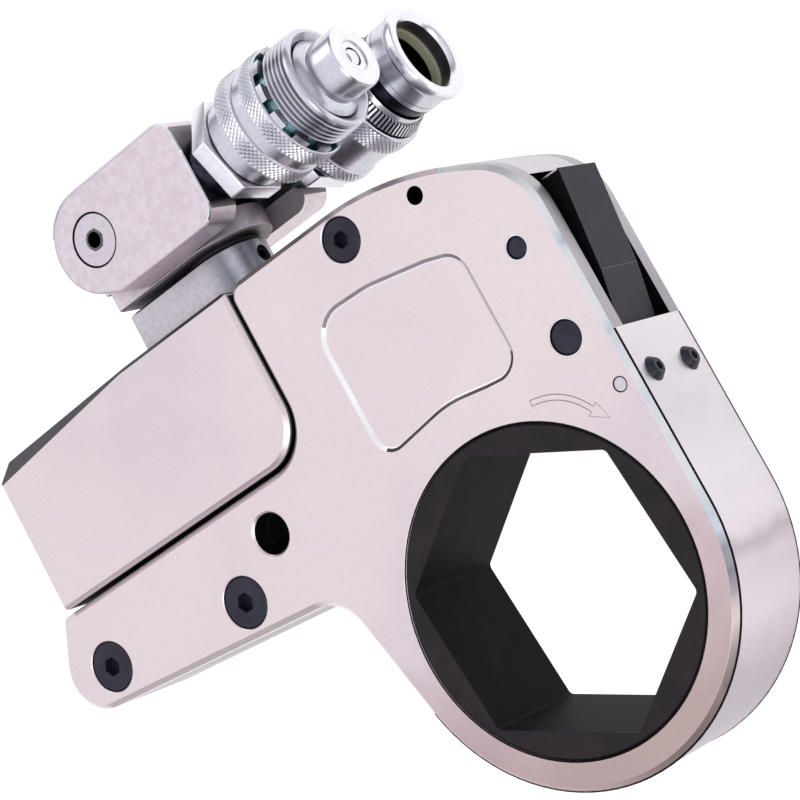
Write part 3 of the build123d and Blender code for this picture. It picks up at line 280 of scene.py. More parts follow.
def gapSteel(name, deepShade, edge):
    # ground steel beside a narrow gap, darkening as painted shade: its top colour 0.5 mm below the plate's
    # face, black 1.9 mm below it
    noShadeDepth, fullShadeDepth = link["halfWidth"] - 0.5, link["halfWidth"] - 1.9
    material, tree, shader, place = startMaterial(name, deepShade, 0.0, 0.5, 0.2)
    height = addNode(tree, "SeparateXYZ", links={"Vector": place}).outputs["Z"]
    apart = addNode(tree, "Math", {"operation": "ABSOLUTE"}, {0: height}).outputs[0]
    share = addNode(tree, "MapRange", {"From Min": fullShadeDepth * mm, "From Max": noShadeDepth * mm}, {"Value": apart})
    tint = addNode(tree, "ValToRGB", {"stops": [(0.0, deepShade), (1.0, edge)]},
                   {"Fac": share.outputs["Result"]})
    tree.links.new(tint.outputs["Color"], shader.inputs["Base Color"])
    return material


def softPolymer(name, colour, roughness):
    # moulded nitrile or polyurethane: matt, with a faint orange-peel skin of 0.55 mm
    material, tree, shader, place = startMaterial(name, colour, 0.0, roughness)
    skin = addNode(tree, "TexNoise", {"Scale": perMetre(0.55), "Detail": 2.0}, {"Vector": place})
    bump = addNode(tree, "Bump", {"Strength": 0.12, "Distance": 0.03 * mm},
                   {"Height": skin.outputs["Fac"]})
    tree.links.new(bump.outputs["Normal"], shader.inputs["Normal"])
    return material


# side plates and power head: ground flat and nickel plated, duller and browner round the nose
plateTints = [(0.36, "#E6D9DE"), (0.50, "#EFE1E3"), (0.64, "#F3E6E5")]
noseDarkening = [(0.0, "#FFFFFF"), (0.40, "#EADFE0"), (1.0, "#CFC3BE")]
nickelPlate = satinPlate("groundNickelPlate", plateTints, 62.5, 0.77, 0.05, 0.34, stain=noseDarkening)
# yoke and tilt block: tumbled with stones before plating, which leaves small clouds
swivelTints = [(0.38, "#E7DAE0"), (0.62, "#F0E4EA")]
nickelSwivel = satinPlate("tumbledNickelPlate", swivelTints, 2.0, 1.43, 0.09, 0.40)
# swivel foot: tumbled and plated too, with painted reflections: the light and dark bands that its bright round
# end mirrors
pedestalTints = [(0.38, "#CEC7CD"), (0.62, "#D8D1D7")]
footReflections = [(0.0, "#FFFFFF"), (0.14, "#F0F3F4"), (0.52, "#9DA9AD"), (0.72, "#F4F8F9"), (0.92, "#A3ACB1"),
             (1.0, "#B5BCC0")]
pedestalSteel = satinPlate("pedestalNickelPlate", pedestalTints, 1.25, 1.43, 0.08, 0.28, stain=footReflections,
                           along=("X", -46, -34), uneven=2)
# nose band: sheet ground on a belt, so its clouds are drawn out along the tool's width; its light and dark
# bands down the nose are painted reflection and shade
bandTints = [(0.38, "#DAD2D8"), (0.50, "#E2DADF"), (0.66, "#E8E1E6")]
bandLightAndShade = [(0.0, "#FFFFFF"), (0.34, "#FAF6F8"), (0.42, "#D9D2D5"), (0.50, "#F4F0F2"), (0.75, "#F4F0F2"),
             (1.0, "#CFC8CB")]
nickelBand = satinPlate("beltGroundNickel", bandTints, 25, 0.77, 0.04, 0.32, stretch=(1, 1, 0.3),
                        stain=bandLightAndShade, uneven=6)
# edges of the plates, milled and plated: a greyer copy of the plate's finish, as painted shade on walls turned
# from the light
sideTints = [(0.38, "#A8A2A9"), (0.62, "#C0BAC0")]
shadedNickelSide = satinPlate("sideMilledNickel", sideTints, 33.3, 0.77, 0.05, 0.40)
crownTints = [(0.4, "#CFC9CE"), (0.6, "#DAD5DA")]
crownSteel = satinPlate("crownGroundSteel", crownTints, 33.3, 0.77, 0.05, 0.36)
# ground steel given painted shade: darker copies for the end under the couplers and for inside the fork
greyTints = [(0.40, "#7F797F"), (0.62, "#9A949A")]
shadeGreySteel = satinPlate("greyGroundSteel", greyTints, 25, 1.0, 0.10, 0.40)
forkTints = [(0.38, "#716A70"), (0.64, "#9A9298")]
forkShadeSteel = satinPlate("unplatedForkSteel", forkTints, 16.7, 1.11, 0.15, 0.45)
# the nose's bevel, ground bright, with a painted reflection of white and blue which darkens and reddens on its
# way down
bevelTints = [(0.33, "#BECAD2"), (0.42, "#EEF5F8"), (0.52, "#FFFFFF")]
bevelReflection = [(0.0, "#FFFFFF"), (0.30, "#E6EEF3"), (0.40, "#A2A2A8"), (0.52, "#77727A"), (0.62, "#958C90"),
              (0.75, "#DACACA"), (1.0, "#C6B0AC")]
bevelHighlight = satinPlate("brightGroundBevel", bevelTints, 14.3, 0.77, 0.04, 0.28, stain=bevelReflection, uneven=4)
# the sunk panel's milled slopes, turned to the side, to the dark and to the light
slopeGrey = satinPlate("panelSlopeShaded", [(0.4, "#938A90"), (0.6, "#A89EA4")], 11.1, 1.11, 0.05, 0.42)
slopeDark = satinPlate("panelSlopeDark", [(0.4, "#4A4046"), (0.6, "#6C6268")], 11.1, 1.11, 0.05, 0.42)
slopeBright = satinPlate("panelSlopeBright", [(0.4, "#F4F0F3"), (0.6, "#FFFFFF")], 11.1, 1.11, 0.02, 0.34)
# near black as painted shade in gaps, holes and on faces turned from the light, and for dark joint lines; the
# gap's walls fade down to black painted shade
shadeAndJointBlack = dullSteel("oiledDarkWall", "#060507", "#100E10", 0.6, 0.08)
gapBrown = gapSteel("oiledGapFloor", "#0B090B", "#8D8082")
gapBright = gapSteel("oiledGapRim", "#0B0A0C", "#C9CDD2")
# screws, release lever and ratchet hub: hardened steel blackened in hot salts and oiled; the darker copy on
# the hexagon's walls is painted shade
oxideScrew = dullSteel("blackOxideScrew", "#181626", "#2B2839", 0.36, 0.38)
oxidePawl = dullSteel("blackOxidePawl", "#2B2431", "#38303E", 0.50, 0.30)
oxideHub = dullSteel("blackOxideHub", "#181216", "#271C20", 0.48, 0.28)
hexWallShade = dullSteel("blackOxideInnerWall", "#0B0709", "#150F11", 0.60, 0.10)
# painted light and shade, a lighter line and an etched line
# a paler, matt copy of the fork's steel: painted light on the rear cheek's inner wall
litCheekGrey = dullSteel("forkInnerCheek", "#B9B1B7", "#C6BEC4", 0.45, 0.5)
# a lighter line along the pawl's knee
kneeLine = dullSteel("rubbedPawlKnee", "#5E5866", "#6A6472", 0.5, 0.4)
# painted shade on the head's bevel
headBevelShade = dullSteel("darkenedBevel", "#37323A", "#444046", 0.55, 0.25)
etchedLine = dullSteel("etchedLine", "#7E7274", "#948888", 0.7, 0.2)
# painted highlight for the pawl's tip
edgeHighlight = turnedMetal("rubbedBrightEdge", "#D8D6DC", "#CFCDD4", 0.30, 0.1)
# hardened inside parts and the axle's flush caps, turned and left bare
hardSteel = turnedMetal("hardenedSteel", "#77747A", "#6C696F", 0.38, 0.2)
capSteel = turnedMetal("satinCapSteel", "#E2D8DF", "#DAD0D7", 0.36, 0.1)
# couplers: free cutting steel, turned, knurled and zinc plated, bluer and darker in their recesses; the darker
# necks are painted shade
brightZinc = turnedMetal("brightZincPlate", "#DCDCE4", "#D4D4DD", 0.24, 0.30)
knurledZinc = turnedMetal("knurledZincPlate", "#E6E6EC", "#DEDEE6", 0.30, 0.1, 0.28)
facedZinc = turnedMetal("facedZincPlate", "#F6F5FA", "#EFEEF4", 0.24, 0.1)
blueZinc = turnedMetal("blueZincRecess", "#8FB0B5", "#557F86", 0.30, 0.2)
darkZinc = turnedMetal("shadedZincNeck", "#3A3C48", "#2C2E39", 0.28, 0.2)
# lapped bearing ball, and drawn wire
polishedSteel = turnedMetal("polishedSteel", "#F0EDF1", "#EAE7EC", 0.10, 0.05)
springWire = turnedMetal("springWire", "#77757A", "#6C6A70", 0.35, 0.1)
# moulded seals
nitrile = softPolymer("nitrileRubber", "#131214", 0.62)
paleSeal = softPolymer("paleUrethane", "#B4B294", 0.50)
finishOf = {"plate_steel": nickelPlate, "black_oxide": oxideScrew, "hardened_steel": hardSteel,
            "bright_steel": polishedSteel, "zinc_steel": brightZinc, "spring_steel": springWire,
            "seal_rubber": nitrile, "seal_pale": paleSeal}
print("materials made")

# how wide each part's edges are broken, in mm, its finish, and the degrees up to which it is shaded round
machined = {
    "front_plate": (0.12, nickelPlate, 20), "rear_plate": (0.12, nickelPlate, 20),
    "nose_band": (0.10, nickelBand, 32), "crown_spacer": (0.15, crownSteel, 32),
    "arm_spacer": (0.15, shadedNickelSide, 32), "head_housing": (0.18, nickelPlate, 32),
    "pedestal": (0.20, pedestalSteel, 32), "yoke": (0.25, nickelSwivel, 32),
    "tilt_block": (0.05, nickelSwivel, 32), "ratchet": (0.15, oxideHub, 32),
    "holding_pawl": (0.30, oxidePawl, 28), "arm_screws": (0.12, oxideScrew, 32),
    "crown_screw": (0.12, oxideScrew, 32), "band_screws": (0.12, oxideScrew, 32),
    "stop_pin": (0.10, oxideScrew, 32), "pawl_pivot_pin": (0.10, oxideScrew, 32),
    "dowel": (0.05, capSteel, 32), "lock_screw": (0.10, shadeAndJointBlack, 32),
    "port_plug": (0.10, oxideScrew, 32), "axle_caps": (0.12, capSteel, 32),
    "end_cap": (0.15, hardSteel, 32), "drive_pawl": (0.10, hardSteel, 32),
    "lever_plate_front": (0.15, hardSteel, 32), "lever_plate_rear": (0.15, hardSteel, 32),
    "mouth_seal": (0.25, paleSeal, 32), "valve": (0.12, hardSteel, 32),
    "check_ball": (0.0, polishedSteel, 40), "swivel_seal": (0.12, nitrile, 32),
}
sharpFrom = radians(31)  # edges that turn by more than this are broken


def breakEdges(node, width, material, roundUpTo):
    makeActive(nodes[node])
    bpy.ops.object.duplicate()
    piece = bpy.context.object
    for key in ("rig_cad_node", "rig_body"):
        if key in piece:
            del piece[key]
    piece.parent = None
    words = node.split("_")
    piece.name = words[0] + "".join(word.title() for word in words[1:])
    piece.data.materials.clear()
    piece.data.materials.append(material)
    setMode('EDIT')
    bpy.ops.mesh.select_all(action='SELECT')
    bpy.ops.mesh.remove_doubles(threshold=0.002 * mm)
    bpy.ops.mesh.dissolve_limited(angle_limit=radians(0.6), delimit={'NORMAL'})
    setMode('OBJECT')
    if width:
        applyModifier(piece, 'BEVEL', width=width * mm, segments=2, limit_method='ANGLE',
                      angle_limit=sharpFrom, offset_type='WIDTH', use_clamp_overlap=True)
    makeActive(piece)
    bpy.ops.object.shade_smooth_by_angle(angle=radians(roundUpTo))
    applyModifier(piece, 'WEIGHTED_NORMAL', keep_sharp=True)
    return settle(piece, bodyOf[node], slotOf[node], node)


made = {}
for node, (width, material, roundUpTo) in machined.items():
    made[node] = breakEdges(node, width, material, roundUpTo)
for node, carried in nodes.items():
    if node not in machined:
        carried.data.materials.clear()
        carried.data.materials.append(finishOf[slotOf[node]])
print("machined parts dressed:", len(made))


def nearHole(place, hole):
    return (place.x - hole[0]) ** 2 + (place.y - hole[1]) ** 2 < hole[2] ** 2


def onWall(normal):
    # a wall along the tool's width
    return abs(normal.z) < 0.3


def darkInLink(place, normal):
    # painted shade on the plates' hidden sides and the walls of the small holes
    inner = abs(place.z) < link["plateInner"] + 0.2 and normal.z * place.z < -0.5
    byHole = nearHole(place, link["lanyard"]) or nearHole(place, link["crownHole"])
    return inner or (onWall(normal) and byHole)


lever = {"pivot": axisOf["holding_pawl_release"][:2], "fromX": 20, "fromY": 5, "tipY": 75.75, "tipZ": 7.9,
         "tipLow": 42.1, "tipHigh": 46.5, "kneeX": 43.98, "kneeY": 53.0, "kneeZ": 7.6}


def besideLever(place, normal):
    # the plates' edges behind the release lever
    behind = place.x > lever["fromX"] and place.y > lever["fromY"]
    return onWall(normal) and behind and not nearHole(place, link["hub"])


notch = {"x": -37.9, "floorY": 54.6, "farX": -126, "topY": 95, "beside": 1.6, "above": 1.8, "corner": 12,
         "cornerReach": 14, "cornerX": -51, "cornerY": 69}


def facesNotch(place, normal):
    # walls along the narrow gap between the head and the link
    if abs(normal.z) > 0.5:
        return False
    nearSide = abs(place.x - notch["x"]) < notch["beside"] and abs(normal.x) > 0.4 and place.y < notch["topY"]
    alongFloor = abs(normal.y) > 0.4 and notch["farX"] < place.x < notch["x"]
    nearFloor = alongFloor and abs(place.y - notch["floorY"]) < notch["above"]
    corner = (notch["x"] - notch["corner"], notch["floorY"] + notch["corner"], notch["cornerReach"])
    inCorner = place.x > notch["cornerX"] and place.y < notch["cornerY"]
    return nearSide or nearFloor or (inCorner and nearHole(place, corner))


# painted shade: a greyer copy on the edges behind the lever, near black on the hidden sides and in the small
# holes, darker down the gap's walls
for side in ("front_plate", "rear_plate"):
    paintFaces(made[side], shadedNickelSide, besideLever)
    paintFaces(made[side], shadeAndJointBlack, darkInLink)
    paintFaces(made[side], gapBrown, facesNotch)
# painted shade: near black on the arm spacer's gap and hole walls, the crown spacer's underside and hole, and
# the pawl's sides; a darker oxide on the hexagon's walls
paintFaces(made["arm_spacer"], shadeAndJointBlack, lambda place, normal:
           facesNotch(place, normal) or (onWall(normal) and nearHole(place, link["lanyard"])))
paintFaces(made["crown_spacer"], shadeAndJointBlack, lambda place, normal:
           normal.y < -0.3 or (onWall(normal) and nearHole(place, link["crownHole"])))
paintFaces(made["holding_pawl"], shadeAndJointBlack, lambda place, normal: abs(normal.z) > 0.6 or normal.x < -0.5)
paintFaces(made["ratchet"], hexWallShade, lambda place, normal:
           onWall(normal) and nearHole(place, link["hexagon"]))

arcSteps = 8


def roundedPath(corners, z):
    # corners are (x, y, radius); each is turned into an arc that touches both sides
    path = []
    for before, corner, after in zip(corners[-1:] + corners[:-1], corners, corners[1:] + corners[:1]):
        point = Vector(corner[:2])
        back = (Vector(before[:2]) - point).normalized()
        ahead = (Vector(after[:2]) - point).normalized()
        half = back.angle(ahead) / 2
        middle = point + (back + ahead).normalized() * corner[2] / sin(half)
        start = point + back * corner[2] / tan(half) - middle
        end = point + ahead * corner[2] / tan(half) - middle
        for step in range(arcSteps + 1):
            arm = start.lerp(end, step / arcSteps).normalized() * corner[2]
            path.append((middle.x + arm.x, middle.y + arm.y, z))
    return path


def drawWire(name, path):
    # a wire of edges pulled out point by point along the path, in mm
    deselectAll()
    bpy.ops.mesh.primitive_plane_add(size=mm, location=Vector(path[0]) * mm)
    piece = bpy.context.object
    piece.name = name
    bpy.ops.object.transform_apply(location=True, rotation=True, scale=True)
    setMode('EDIT')
    bpy.ops.mesh.select_mode(type='VERT')
    bpy.ops.mesh.select_all(action='SELECT')
    bpy.ops.mesh.merge(type='CENTER')
    for start, end in zip(path, path[1:]):
        step = (Vector(end) - Vector(start)) * mm
        bpy.ops.mesh.extrude_region_move(TRANSFORM_OT_translate={"value": step})
    if path[0] == path[-1]:
        bpy.ops.mesh.select_all(action='SELECT')
        bpy.ops.mesh.remove_doubles(threshold=0.01 * mm)
    setMode('OBJECT')
    return piece


# corners are (x, y, radius) of the sunk panel's outline, steps are its slopes' (width, depth)
panel = {"corners": [(-21.6, 42.7, 5.2), (-21.9, 78.5, 8.5), (-4.0, 77.9, 22.0), (12.0, 74.9, 22.0),
                     (20.9, 72.2, 6.0), (20.9, 43.0, 6.0), (11.0, 44.0, 10.0), (0.0, 45.7, 30.0),
                     (-13.0, 43.9, 10.0)],
         "steps": ((0.75, 0.42), (0.35, 0.08)), "over": 0.3, "lowest": 15.45, "shadedTo": 12,
         "minX": -24, "maxX": 24, "minY": 40, "maxY": 81}


def inPanel(place):
    return panel["minX"] < place.x < panel["maxX"] and panel["minY"] < place.y < panel["maxY"]


def sinkPanel(piece):
    # the face is made level and the panel sunk again in two slopes, a steep one and a shallow one
    face = link["halfWidth"]
    pickParts(piece, 'VERT', lambda place: inPanel(place) and panel["lowest"] < place.z < face - 0.01)
    bpy.ops.transform.resize(value=(1, 1, 0), center_override=(0, 0, face * mm))
    setMode('OBJECT')
    outline = roundedPath(panel["corners"], face + panel["over"])
    cutter = drawWire("panelCutter", outline + outline[:1])
    setMode('EDIT')
    bpy.ops.mesh.select_all(action='SELECT')
    bpy.ops.mesh.edge_face_add()
    bpy.ops.mesh.select_mode(type='FACE')
    bpy.ops.mesh.extrude_region_move(TRANSFORM_OT_translate={"value": (0, 0, -panel["over"] * mm)})
    for width, depth in panel["steps"]:
        bpy.ops.mesh.inset(thickness=width * mm, depth=0)
        bpy.ops.transform.translate(value=(0, 0, -depth * mm))
    bpy.ops.mesh.select_all(action='SELECT')
    bpy.ops.mesh.normals_make_consistent(inside=False)
    setMode('OBJECT')
    applyModifier(piece, 'BOOLEAN', object=cutter, operation='DIFFERENCE', solver='EXACT')
    makeActive(cutter)
    bpy.ops.object.delete()
    makeActive(piece)
    bpy.ops.object.shade_smooth_by_angle(angle=radians(panel["shadedTo"]))
    applyModifier(piece, 'WEIGHTED_NORMAL', keep_sharp=True)


def onSteepSlope(place, normal):
    between = panel["lowest"] < place.z < link["halfWidth"] - 0.02
    return inPanel(place) and between and 0.8 < normal.z < 0.95


sinkPanel(made["front_plate"])
steepSlopes = ((slopeDark, lambda normal: normal.y > 0.2), (slopeGrey, lambda normal: normal.y < -0.2),
               (slopeBright, lambda normal: normal.x > 0.3))
for finish, turnedTo in steepSlopes:
    paintFaces(made["front_plate"], finish, lambda place, normal:
               onSteepSlope(place, normal) and turnedTo(normal))
paintFaces(made["front_plate"], slopeBright, lambda place, normal: inPanel(place) and 0.95 < normal.z < 0.99)

# the bevels of the nose and of the head: where they begin, and how steep and how flat their normals are
bevel = {"noseX": 26, "noseZ": 14, "noseSteep": 0.3, "headX": -36.0, "headUp": 0.35, "headSteep": 0.2,
         "flat": 0.93}


def onNoseBevel(place, normal):
    sloped = bevel["noseSteep"] < abs(normal.z) < bevel["flat"]
    return sloped and abs(place.z) > bevel["noseZ"] and place.x > bevel["noseX"]


def onHeadBevel(place, normal):
    sloped = bevel["headSteep"] < abs(normal.z) < bevel["flat"]
    return sloped and place.x < bevel["headX"] and normal.y > bevel["headUp"]


# painted reflection on the nose's bevels; painted shade on the head's bevel and down its gap's walls, below a
# painted highlight at their top
for side in ("front_plate", "rear_plate"):
    paintFaces(made[side], bevelHighlight, onNoseBevel)
paintFaces(made["head_housing"], headBevelShade, onHeadBevel)
paintFaces(made["head_housing"], gapBright, facesNotch)

# cheekEdge holds corners, (x, y, radius); the core is the tilt block's middle between the fork's cheeks
blockHigh = boxOf("tilt_block")[1]
swivel = {"tilt": axisOf["swivel_tilt"][:2], "faceZ": blockHigh[2], "endX": blockHigh[0], "cheekInner": 13.3,
          "seamZ": -4.0, "seamHalf": 0.14, "coreHalf": 5, "socketReach": 2.6, "yokeTopY": 114,
          "cheekEdge": [(-25.66, 108.56, 4.24), (-25.66, 134.49, 4.24), (-70.89, 134.49, 12.4),
                        (-70.89, 109.71, 12.4)]}


def insideFork(place, normal):
    turnedIn = normal.y < -0.5 or abs(normal.z) > 0.5 or normal.x < -0.5
    return abs(place.z) < swivel["cheekInner"] + 0.1 and turnedIn


# painted shade inside the fork, on the block's end under the couplers and under the yoke; a paler copy on the
# rear cheek's inner wall as painted light; near black for the block's seam, a joint, and as painted shade in
# the caps' sockets
paintFaces(made["tilt_block"], forkShadeSteel, insideFork)
paintFaces(made["tilt_block"], litCheekGrey, lambda place, normal:
           normal.z > 0.5 and place.z < 0.3 - swivel["cheekInner"])
paintFaces(made["tilt_block"], shadeGreySteel, lambda place, normal:
           normal.x > 0.9 and place.x > swivel["endX"] - 0.4)
paintFaces(made["tilt_block"], shadeAndJointBlack, lambda place, normal:
           abs(place.z - swivel["seamZ"]) < swivel["seamHalf"] and abs(place.z) < swivel["coreHalf"])
paintFaces(made["axle_caps"], shadeAndJointBlack, lambda place, normal:
           nearHole(place, (*swivel["tilt"], swivel["socketReach"])) and abs(place.z) < swivel["faceZ"] - 0.3)
paintFaces(made["yoke"], forkShadeSteel, lambda place, normal:
           normal.y < -0.5 or (normal.x > 0.5 and place.y > swivel["yokeTopY"]))
print("hidden and shaded faces painted")

# neck holds the stations that both bodies share at their hexagons, (x, radius) in mm; the knurl is a fine one
coupler = {"axisY": axisOf["front_collar_turn"][1], "frontZ": axisOf["front_collar_turn"][2],
           "rearZ": axisOf["rear_sleeve_turn"][2], "sides": 144, "knurlPitch": 0.62, "knurlDepth": 0.32,
           "knurlRadius": 14.1, "knurlFloor": 13.3, "hexAcross": 22.6, "hexTurn": -35.7, "hexStartX": -20.2,
           "hexLength": 4.6, "hexBevel": 0.45,
           "neck": [(-26.0, 0.4), (-26.0, 8.0), (-19.0, 8.0), (-15.2, 10.6), (-14.9, 10.9)]}


def turnOnX(name, stations, y, z):
    # a ring is turned by drawing a circle out along the profile's stations, (x, radius) in mm
    firstX, firstRadius = stations[0]
    deselectAll()
    bpy.ops.mesh.primitive_circle_add(vertices=coupler["sides"], radius=firstRadius * mm, fill_type='NOTHING',
                                      location=(firstX * mm, y * mm, z * mm), rotation=(0, pi / 2, 0))
    piece = bpy.context.object
    piece.name = name
    bpy.ops.object.transform_apply(location=True, rotation=True, scale=True)
    setMode('EDIT')
    bpy.ops.mesh.select_mode(type='VERT')
    bpy.ops.mesh.select_all(action='SELECT')
    lastX, lastRadius = firstX, firstRadius
    for x, radius in stations[1:]:
        bpy.ops.mesh.extrude_region_move(TRANSFORM_OT_translate={"value": ((x - lastX) * mm, 0, 0)})
        growRound(radius / lastRadius, x, y, z)
        lastX, lastRadius = x, radius
    bpy.ops.mesh.select_all(action='SELECT')
    bpy.ops.mesh.remove_doubles(threshold=0.003 * mm)
    bpy.ops.mesh.normals_make_consistent(inside=False)
    setMode('OBJECT')
    piece.data.materials.append(brightZinc)
    return piece


def knurlCount(low, high):
    return max(2, round((high - low) / coupler["knurlPitch"]))


def knurlStations(low, high):
    radius = coupler["knurlRadius"] - coupler["knurlDepth"]
    count = knurlCount(low, high)
    return [(low + (high - low) * step / count, radius) for step in range(count + 1)]


def awayFrom(place, y, z):
    return ((place.y - y) ** 2 + (place.z - z) ** 2) ** 0.5


def growRound(grow, x, y, z):
    bpy.ops.transform.resize(value=(1, grow, grow), center_override=(x * mm, y * mm, z * mm))


def raiseKnurl(piece, low, high, y, z):
    # every second point of the band stands out, so that the diamonds' valleys run both ways round
    count = knurlCount(low, high)
    pitch = (high - low) / count
    floor = coupler["knurlFloor"]

    def stands(place):
        if not low - 0.01 < place.x < high + 0.01 or awayFrom(place, y, z) < floor:
            return False
        around = round((atan2(place.y - y, place.z - z) / (2 * pi) + 1) * coupler["sides"])
        along = round((place.x - low) / pitch)
        return 0 < along < count and (around + along) % 2 == 0

    def inKnurl(place, normal):
        return low < place.x < high and awayFrom(place, y, z) > floor
    pickParts(piece, 'VERT', stands)
    growRound(1 + coupler["knurlDepth"] / coupler["knurlRadius"], 0, y, z)
    setMode('OBJECT')
    pickParts(piece, 'FACE', inKnurl)
    bpy.ops.mesh.quads_convert_to_tris(quad_method='SHORTEST_DIAGONAL')
    setMode('OBJECT')
    paintFaces(piece, knurledZinc, inKnurl)


def sectorOf(place, y, z, count):
    # how far round its own share of the circle a place lies, from 0 to 1
    return ((atan2(place.y - y, place.z - z) / (2 * pi) + 1) * count) % 1


def finishTurned(piece, angle, body, *replaced):
    makeActive(piece)
    bpy.ops.object.shade_smooth_by_angle(angle=radians(angle))
    return settle(piece, body, "zinc_steel", *replaced)


# the stations of lip and thread count from where the crown and each turn start
frontSleeve = {"tail": [(-10.0, 9.75), (-10.0, 12.9), (-9.6, 13.5)], "knurls": ((-9.4, -4.9), (-1.7, 2.5)),
               "groove": [(-4.7, 13.4), (-4.5, 13.2), (-2.1, 13.2), (-1.9, 13.4)], "crownX": 2.8,
               "lip": [(-0.1, 13.6), (0.0, 13.4), (0.0, 12.1), (1.7, 11.9)], "lipRadius": 13.38,
               "crownTabs": 12, "tabShare": 0.58, "tabLength": 1.5, "threadX": 4.9, "threadPitch": 1.2,
               "threadTurns": 5, "thread": [(0.0, 11.9), (0.35, 12.62), (0.55, 12.62), (0.9, 11.9)],
               "rim": [(10.9, 11.9), (11.1, 12.5), (11.9, 12.5), (12.5, 12.0), (12.7, 11.6), (12.6, 11.2)],
               "bore": [(11.2, 9.75), (-10.0, 9.75)], "shadedTo": 24}


def makeFrontCollar():
    y, z = coupler["axisY"], coupler["frontZ"]
    crown = frontSleeve["crownX"]
    lowKnurl, highKnurl = frontSleeve["knurls"]
    profile = frontSleeve["tail"] + knurlStations(*lowKnurl)
    profile += frontSleeve["groove"] + knurlStations(*highKnurl)
    profile += [(crown + x, radius) for x, radius in frontSleeve["lip"]]
    for turn in range(frontSleeve["threadTurns"]):
        start = frontSleeve["threadX"] + turn * frontSleeve["threadPitch"]
        profile += [(start + x, radius) for x, radius in frontSleeve["thread"]]
    piece = turnOnX("frontCollar", profile + frontSleeve["rim"] + frontSleeve["bore"], y, z)
    for low, high in frontSleeve["knurls"]:
        raiseKnurl(piece, low, high, y, z)

    def isTab(place):
        return sectorOf(place, y, z, frontSleeve["crownTabs"]) < frontSleeve["tabShare"]

    def onTab(place, normal):
        return abs(place.x - crown) < 0.02 and normal.x > 0.9 and isTab(place)

    def betweenTabs(place, normal):
        inCrown = crown - 0.05 < place.x < frontSleeve["threadX"] - 0.1
        return inCrown and awayFrom(place, y, z) < frontSleeve["lipRadius"] and not isTab(place)
    pickParts(piece, 'FACE', onTab)
    bpy.ops.mesh.extrude_region_move(TRANSFORM_OT_translate={"value": (frontSleeve["tabLength"] * mm, 0, 0)})
    setMode('OBJECT')
    paintFaces(piece, blueZinc, betweenTabs)
    return finishTurned(piece, frontSleeve["shadedTo"], "front_collar", "front_collar", "lock_ring")


rearSleeve = {"tail": [(-14.0, 10.55), (-14.0, 13.3), (-13.5, 13.8)], "knurls": ((-13.2, -9.8), (-1.2, 4.2)),
              "groove": [(-9.6, 13.5), (-9.4, 13.35), (-1.6, 13.35), (-1.4, 13.5)],
              "shoulder": [(4.4, 13.7), (4.6, 13.4), (4.6, 12.3)], "ring": [(5.0, 12.3), (7.8, 11.3)],
              "ribs": 72, "ribShare": 0.5, "ribFloor": 11.0, "ribGrow": 1.055, "shadedTo": 24,
              "rim": [(8.6, 11.2), (9.0, 11.0), (9.0, 10.9)], "bore": [(8.6, 10.55), (-14.0, 10.55)]}


def makeRearSleeve():
    y, z = coupler["axisY"], coupler["rearZ"]
    lowKnurl, highKnurl = rearSleeve["knurls"]
    profile = rearSleeve["tail"] + knurlStations(*lowKnurl) + rearSleeve["groove"] + knurlStations(*highKnurl)
    profile += rearSleeve["shoulder"] + rearSleeve["ring"] + rearSleeve["rim"] + rearSleeve["bore"]
    piece = turnOnX("rearSleeve", profile, y, z)
    for low, high in rearSleeve["knurls"]:
        raiseKnurl(piece, low, high, y, z)

    def inRing(place):
        ringLow, ringHigh = (x for x, radius in rearSleeve["ring"])
        return ringLow < place.x < ringHigh and awayFrom(place, y, z) > rearSleeve["ribFloor"]

    def isRib(place):
        return sectorOf(place, y, z, rearSleeve["ribs"]) < rearSleeve["ribShare"]
    # painted shade, near black, between the ribs
    paintFaces(piece, shadeAndJointBlack, lambda place, normal: inRing(place) and not isRib(place))
    pickParts(piece, 'FACE', lambda place, normal: inRing(place) and isRib(place))
    bpy.ops.mesh.extrude_region_move(TRANSFORM_OT_translate={"value": (0, 0, 0)})
    growRound(rearSleeve["ribGrow"], 0, y, z)
    setMode('OBJECT')
    return finishTurned(piece, rearSleeve["shadedTo"], "rear_sleeve", "rear_sleeve", "rear_ring")


def paintBands(piece, bands, y, z):
    # a band is a finish and where it lies: first and last x, inner and outer radius, in mm
    for finish, first, last, inner, outer in bands:
        paintFaces(piece, finish, lambda place, normal: first < place.x < last and
                   inner <= awayFrom(place, y, z) < outer)


def makeNut(name, z):
    # hexagon of a coupler, chamfered at its corners
    middle = coupler["hexStartX"] + coupler["hexLength"] / 2
    stand = Matrix.Rotation(radians(coupler["hexTurn"]), 3, 'X') @ Matrix.Rotation(pi / 2, 3, 'Y')
    deselectAll()
    bpy.ops.mesh.primitive_cylinder_add(vertices=6, radius=coupler["hexAcross"] / 2 / cos(radians(30)) * mm,
                                        depth=coupler["hexLength"] * mm, rotation=stand.to_euler(),
                                        location=(middle * mm, coupler["axisY"] * mm, z * mm))
    piece = bpy.context.object
    piece.name = name
    bpy.ops.object.transform_apply(location=True, rotation=True, scale=True)
    applyModifier(piece, 'BEVEL', width=coupler["hexBevel"] * mm, segments=3, limit_method='ANGLE',
                  angle_limit=sharpFrom)
    piece.data.materials.append(facedZinc)
    return finishTurned(piece, 32, "manifold")


